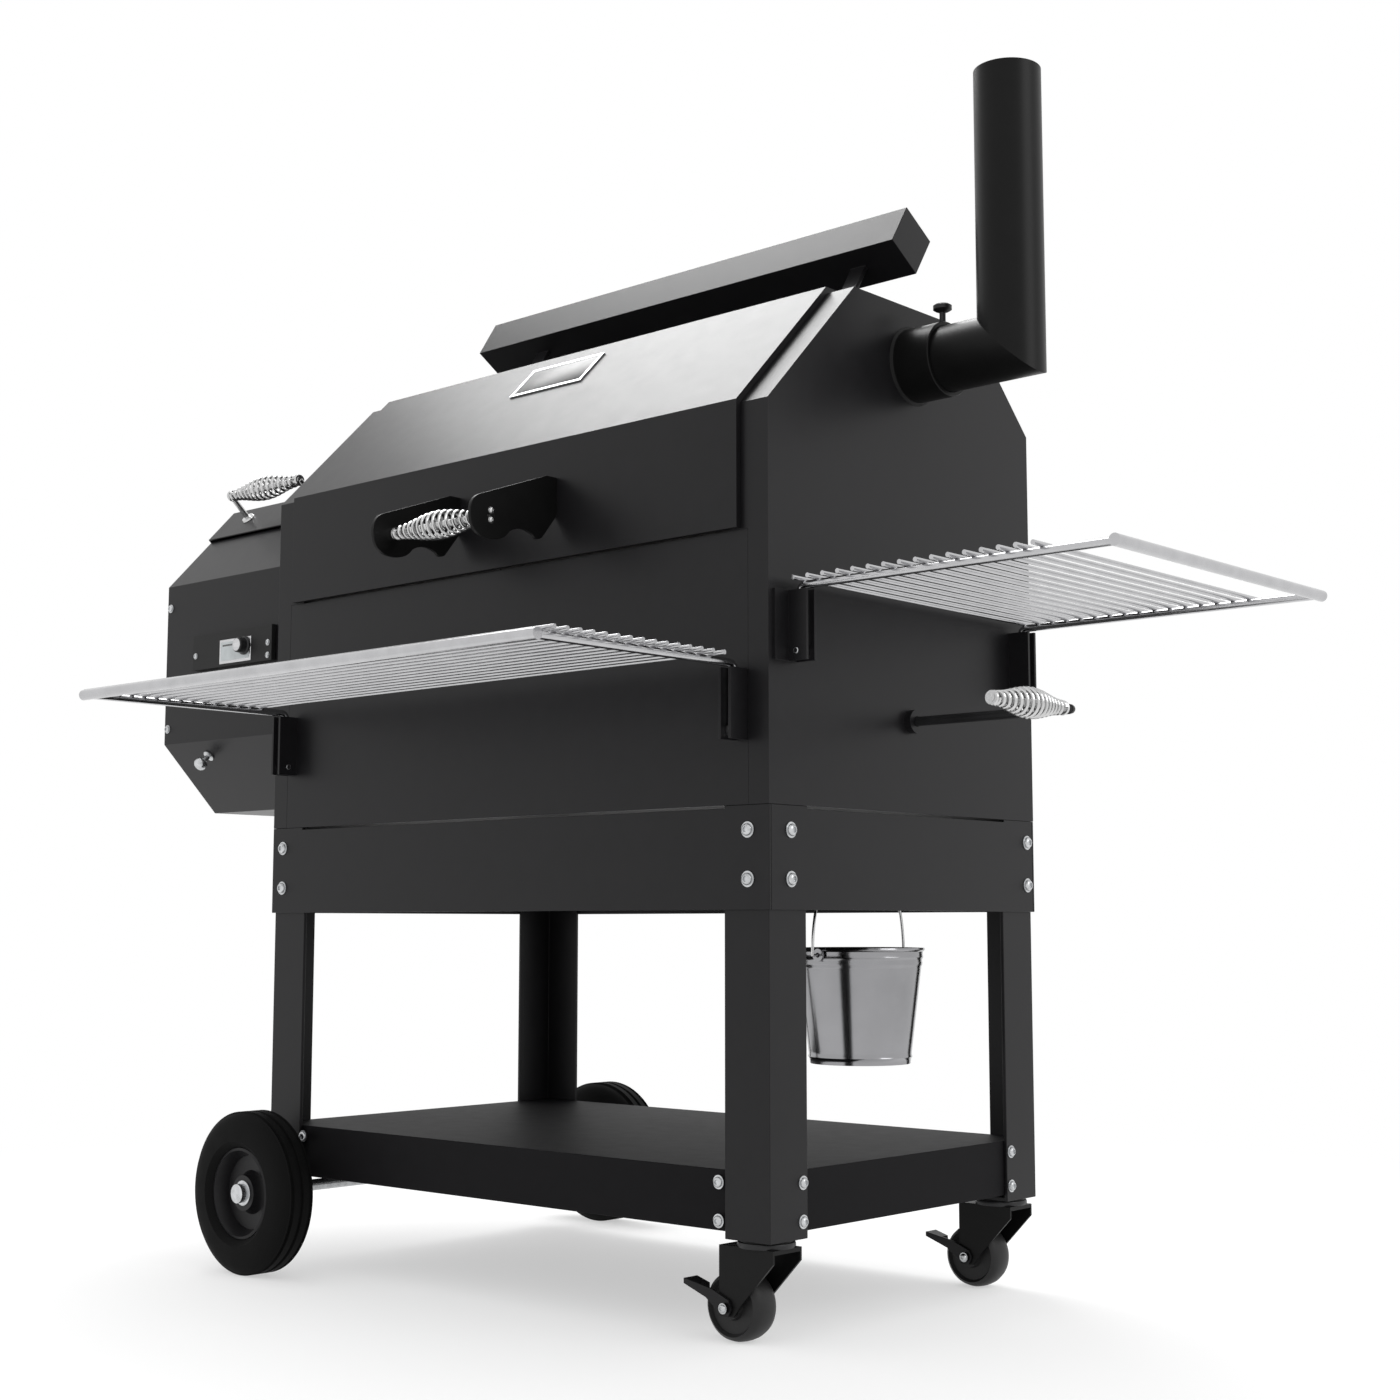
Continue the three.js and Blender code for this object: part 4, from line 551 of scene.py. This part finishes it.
road_wheel("front")
road_wheel("rear")

for end in ("front", "rear"):
    low, high = corners(f"caster_wheel_{end}")
    centre = (low + high) / 2
    r, half = (high[2] - low[2]) / 2, (high[1] - low[1]) / 2
    tread = [(5.6 * MM, -half), (14 * MM, -half), (16 * MM, -half * 0.72), (r - 10 * MM, -half * 0.72),
             (r - 7 * MM, -half * 0.95), (r - 3 * MM, -half * 0.8), (r - 0.6 * MM, -half * 0.45),
             (r, -half * 0.1), (r, half * 0.1), (r - 0.6 * MM, half * 0.45), (r - 3 * MM, half * 0.8),
             (r - 7 * MM, half * 0.95), (r - 10 * MM, half * 0.72), (16 * MM, half * 0.72),
             (14 * MM, half), (5.6 * MM, half), (5.6 * MM, -half)]
    piece(f"{end}_caster_tread", [turned(tread, centre, (0, 1, 0), 72)], caster_rubber,
          f"caster_wheel_{end}", [f"caster_wheel_{end}"], 35)

# ------------------------------------------------------------------ bucket

ear_z = joint["bucket_swing"]["pos_m"][2]
bucket_low, bucket_high = corners("bucket")
bucket_at = np.array([*joint["bucket_swing"]["pos_m"][:2], 0.0])
z0, z1 = bucket_low[2], bucket_high[2]
base_radius, rim_radius, thin = 64 * MM, 84 * MM, 1.2 * MM


def pail_wall(inset):
    """Straight tapered wall with two swaged beads near the rim and one near the base."""
    h = np.linspace(0.01, 0.965, 60)
    bead = sum(1.3 * MM * np.exp(-(((h - c) / 0.012) ** 2)) for c in (0.06, 0.86, 0.92))
    r = base_radius + (rim_radius - 2 * MM - base_radius) * h + bead - inset
    return list(zip(r, z0 + (z1 - z0) * h))


outer_wall, inner_wall = pail_wall(0), pail_wall(thin)
rolled = [(rim_radius - 1.5 * MM, z1 - 4.5 * MM), (rim_radius, z1 - 2.5 * MM),
          (rim_radius - 1.0 * MM, z1 - 0.3 * MM), (rim_radius - 3 * MM, z1 - 0.6 * MM),
          (rim_radius - 4 * MM, z1 - 3 * MM)]
profile = [(0, z0 + 3 * MM), (base_radius - 3 * MM, z0 + 3 * MM), (base_radius - 2 * MM, z0),
           (base_radius, z0)] + outer_wall + rolled + inner_wall[::-1] + [
           (base_radius - 4 * MM, z0 + 5 * MM), (0, z0 + 5 * MM)]
pail = [turned(profile, bucket_at, (0, 0, 1), 128)]
for s in (-1, 1):
    ear = [(3.2 * MM, 0), (8 * MM, 0), (8 * MM, 3 * MM), (3.2 * MM, 3 * MM), (3.2 * MM, 0)]
    at = bucket_at + np.array([0, s * (rim_radius - 1 * MM), ear_z])
    pail.append(turned(ear, at, (0, s, 0), 24))
piece("grease_pail", pail, pail_steel, "bucket", ["bucket"], 30)

bail_low, bail_high = corners("bail")
half_span = (bail_high[1] - bail_low[1]) / 2 - 2.2 * MM
a = np.linspace(np.pi, 0, 60)
arch = np.stack([np.full_like(a, bucket_at[0]), bucket_at[1] + half_span * np.cos(a),
                 ear_z + (bail_high[2] - 2.2 * MM - ear_z) * np.sin(a)], -1)
hooks = [np.array([[bucket_at[0], bucket_at[1] + s * (half_span - 9 * MM), ear_z]]) for s in (-1, 1)]
arch = np.concatenate([hooks[0], arch, hooks[1]])
piece("pail_bail", [tube(arch, 1.9 * MM, (1, 0, 0), 10)], stainless, "bail", ["bail"])

# ------------------------------------------------------------------ controller

panel_low, panel_high = corners("controller_panel")
panel_front = panel_high[1] - 8 * MM


def plate(x0, x1, z0, z1, y, depth):
    """A thin block in front of the panel, its front edge drawn in by 0.6 mm."""
    e = 0.6 * MM
    rings = []
    for d, level in ((0, y), (0, y - depth + e), (e, y - depth)):
        rings.append([(x0 + d, level, z0 + d), (x1 - d, level, z0 + d),
                      (x1 - d, level, z1 - d), (x0 + d, level, z1 - d)])
    points = np.array(rings, float)
    faces = grid_faces(3, 4).tolist() + [[3, 2, 1, 0], [8, 9, 10, 11]]
    return points, faces


centre_x = (panel_low[0] + panel_high[0]) / 2
piece("display_window",
      [plate(centre_x - 25 * MM, centre_x + 46 * MM, panel_low[2] + 8 * MM, panel_low[2] + 37 * MM,
             panel_front - 0.1 * MM, 1.6 * MM)],
      display_face, "cart")
piece("display_slit",
      [plate(centre_x - 20 * MM, centre_x + 41 * MM, panel_low[2] + 30 * MM, panel_low[2] + 33 * MM,
             panel_front - 1.6 * MM, 0.7 * MM)],
      dark_glass, "cart")
piece("display_bezel",
      [plate(centre_x - 29 * MM, centre_x + 50 * MM, panel_low[2] + 4 * MM, panel_low[2] + 41 * MM,
             panel_front, 0.9 * MM)],
      brushed, "cart")
screws("panel_screws", "cart",
       [((centre_x + dx * MM, panel_front, panel_low[2] + dz * MM), (0, -1, 0))
        for dx, dz in ((-92, 22), (92, 27), (92, 8))], 0.5)
knob_low, knob_high = corners("controller_knob")
knob_at = (knob_low + knob_high) / 2
depth = (knob_high[1] - knob_low[1]) / 2
knob = [(0, -depth + 1 * MM), (14 * MM, -depth), (14 * MM, -depth + 3.5 * MM), (12 * MM, -depth + 5 * MM),
        (11.2 * MM, depth - 1 * MM), (10.2 * MM, depth), (0, depth)]
piece("control_knob", [turned(knob, knob_at, (0, -1, 0), 48)], dark_steel, "controller_knob",
      ["controller_knob"])
cap = [(0, depth), (9.4 * MM, depth), (9.4 * MM, depth + 0.6 * MM), (8.8 * MM, depth + 1 * MM),
       (0, depth + 1 * MM)]
piece("control_knob_cap", [turned(cap, knob_at, (0, -1, 0), 48)], brushed, "controller_knob")

hopper_low = corners("hopper_housing")[0]
hopper_face = hopper_low[1]
hopper_places = [((hopper_low[0] + 9 * MM, hopper_face, panel_high[2] + dz * MM), (0, -1, 0))
                 for dz in (52, -140)]
screws("hopper_screws", "cart", hopper_places, 0.7)
knob_axis = joint["cleanout_knob_turn"]["axis"]
tip = np.array(joint["cleanout_knob_turn"]["pos_m"], float)
handle = [(0, 0.4), (9, 0.4), (9, 2.6), (4, 4), (4, 13), (8, 15), (10, 18), (10, 24.5), (7.5, 27.6), (0, 28)]
piece("cleanout_turn_knob", [turned(np.array(handle) * MM, tip, knob_axis, 32)],
      zinc, "cleanout_knob", ["cleanout_knob"])

# ------------------------------------------------------------------ smaller round parts

frame["nodes"]["damper_rod"].data.materials.clear()
frame["nodes"]["damper_rod"].data.materials.append(dark_steel)
for end in ("front", "rear"):
    centre = np.array(joint[f"caster_{end}_swivel"]["pos_m"], float)
    race_top = corners(f"caster_fork_{end}")[1][2] - 0.5 * MM
    race = [(31.1, -8), (33.4, -7.4), (34, -6), (34, -3), (33.4, -1.6), (31.1, -1), (31.1, -8)]
    piece(f"{end}_caster_race",
          [turned(np.array(race) * MM, (centre[0], centre[1], race_top), (0, 0, 1), 64)],
          dark_steel, f"caster_fork_{end}")
    fork_low, fork_high = corners(f"caster_fork_{end}")
    hub = middle(f"caster_wheel_{end}")
    screws(f"{end}_caster_bolt_heads", f"caster_fork_{end}",
           [((hub[0], fork_low[1], hub[2]), (0, -1, 0)), ((hub[0], fork_high[1], hub[2]), (0, 1, 0))],
           0.65)

rod_low, rod_high = corners("door_hinge_rod")
piece("hinge_pin", [straight((rod_low[0], *((rod_low + rod_high) / 2)[1:]),
                             (rod_high[0], *((rod_low + rod_high) / 2)[1:]), 5 * MM, 32)],
      zinc, "cart", ["door_hinge_rod"])
screw_at = joint["thumbscrew_turn"]["pos_m"]
screw_low, screw_high = corners("thumbscrew")
tall = (screw_high[2] - screw_low[2]) / MM
grip_rows = [(0, 0), (4, 0), (4, tall - 11), (9, tall - 9), (12, tall - 7), (12, tall - 2),
             (9, tall), (0, tall)]
piece("collar_thumbscrew",
      [turned(np.array(grip_rows) * MM, (screw_at[0], screw_at[1], screw_low[2]), (0, 0, 1), 40)],
      dark_steel, "thumbscrew", ["thumbscrew"])
badge = frame["nodes"]["badge_plate"]
badge.data.materials.clear()
badge.data.materials.append(brushed)
face = max((f for f in badge.data.polygons if f.normal.z > 0.1), key=lambda f: f.area)
out_of_slope = np.array(badge.matrix_world.to_3x3() @ face.normal)
up_slope = np.cross(out_of_slope, (1.0, 0.0, 0.0))
field = []
for h, inset in ((0.45, 0), (0.75, 0.6)):
    for u, v in ((-1, -1), (1, -1), (1, 1), (-1, 1)):
        field.append(middle("badge_plate") + u * (64 - inset) * MM * np.array([1.0, 0, 0])
                     + v * (28 - inset) * MM * up_slope + h * MM * out_of_slope)
piece("badge_field", [(np.array(field), grid_faces(2, 4).tolist() + [[3, 2, 1, 0], [4, 5, 6, 7]])],
      badge_face, "door")

# ------------------------------------------------------------------ floor, light and camera


def white_backdrop(tree, surface, out):
    """Camera, glossy and transmission rays see plain white; other rays see the surface."""
    nodes, links = tree.nodes, tree.links
    rays = nodes.new("ShaderNodeLightPath")
    seen = nodes.new("ShaderNodeMath")
    seen.operation = "MAXIMUM"
    links.new(rays.outputs["Is Camera Ray"], seen.inputs[0])
    links.new(rays.outputs["Is Glossy Ray"], seen.inputs[1])
    both = nodes.new("ShaderNodeMath")
    both.operation = "MAXIMUM"
    links.new(seen.outputs[0], both.inputs[0])
    links.new(rays.outputs["Is Transmission Ray"], both.inputs[1])
    white = nodes.new("ShaderNodeBackground")
    white.inputs["Color"].default_value = (1, 1, 1, 1)
    white.inputs["Strength"].default_value = 1.0
    mix = nodes.new("ShaderNodeMixShader")
    links.new(both.outputs[0], mix.inputs["Fac"])
    links.new(surface.outputs[0], mix.inputs[1])
    links.new(white.outputs[0], mix.inputs[2])
    links.new(mix.outputs[0], out.inputs["Surface"])


world = bpy.data.worlds.new("studio")
world.use_nodes = True
scene.world = world
air = world.node_tree.nodes["Background"]
air.inputs["Color"].default_value = (1, 1, 1, 1)
air.inputs["Strength"].default_value = 1.0
white_backdrop(world.node_tree, air, world.node_tree.nodes["World Output"])

floor_mesh = bpy.data.meshes.new("studio_floor")
size = 14.0
floor_mesh.from_pydata([(-size, -size, 0), (size, -size, 0), (size, size, 0), (-size, size, 0)], [],
                       [(0, 1, 2, 3)])
floor = bpy.data.objects.new("studio_floor", floor_mesh)
scene.collection.objects.link(floor)
floor.location.z = -0.0002
pale = bpy.data.materials.new("pale_floor")
pale.use_nodes = True
nodes, links = pale.node_tree.nodes, pale.node_tree.links
paint = nodes["Principled BSDF"]
paint.inputs["Base Color"].default_value = (0.95, 0.95, 0.95, 1)
paint.inputs["Roughness"].default_value = 0.9
paint.inputs["Specular IOR Level"].default_value = 0.1
# Painted light: the floor glows at half strength near the middle, which lifts the cart's cast shadow. Further out
# the glow rises to full strength, where the floor turns into the white backdrop.
floor_glow_painted_light = nodes.new("ShaderNodeEmission")
floor_glow_painted_light.inputs["Strength"].default_value = 1.0
where = nodes.new("ShaderNodeTexCoord")
far = nodes.new("ShaderNodeVectorMath")
far.operation = "LENGTH"
links.new(where.outputs["Object"], far.inputs[0])
fade = nodes.new("ShaderNodeMapRange")
fade.interpolation_type = "SMOOTHSTEP"
fade.inputs["From Min"].default_value = 0.5
fade.inputs["From Max"].default_value = 2.2
fade.inputs["To Min"].default_value = 0.5
links.new(far.outputs["Value"], fade.inputs["Value"])
blend = nodes.new("ShaderNodeMixShader")
links.new(fade.outputs["Result"], blend.inputs["Fac"])
links.new(paint.outputs[0], blend.inputs[1])
links.new(floor_glow_painted_light.outputs[0], blend.inputs[2])
links.new(blend.outputs[0], nodes["Material Output"].inputs["Surface"])
floor_mesh.materials.append(pale)


def soft_light(name, place, target, width, height, power):
    lamp = bpy.data.lights.new(name, "AREA")
    lamp.shape = "RECTANGLE"
    lamp.size, lamp.size_y, lamp.energy = width, height, power
    thing = bpy.data.objects.new(name, lamp)
    scene.collection.objects.link(thing)
    thing.location = place
    way = Vector(target) - Vector(place)
    thing.rotation_euler = way.to_track_quat("-Z", "Y").to_euler()


heart = (0.0, 0.0, 0.8)
door_slope = (0.0, 0.0, 1.3)
soft_light("overhead_softbox", (-1.3, 0.9, 3.6), door_slope, 2.0, 2.0, 90)
soft_light("right_softbox", (3.4, 0.6, 2.4), heart, 1.6, 2.0, 25)

camera_data = bpy.data.cameras.new("view")
camera_data.sensor_width = 36
camera_data.lens = 52.21
camera = bpy.data.objects.new("view", camera_data)
scene.collection.objects.link(camera)
camera.location = (RIGHT + 1.4971, FRONT - 1.7994, 0.4782)
camera.rotation_euler = (math.radians(96.33), 0.0, math.radians(41.71))
scene.camera = camera
scene.view_settings.view_transform = "Standard"

bpy.context.view_layer.update()
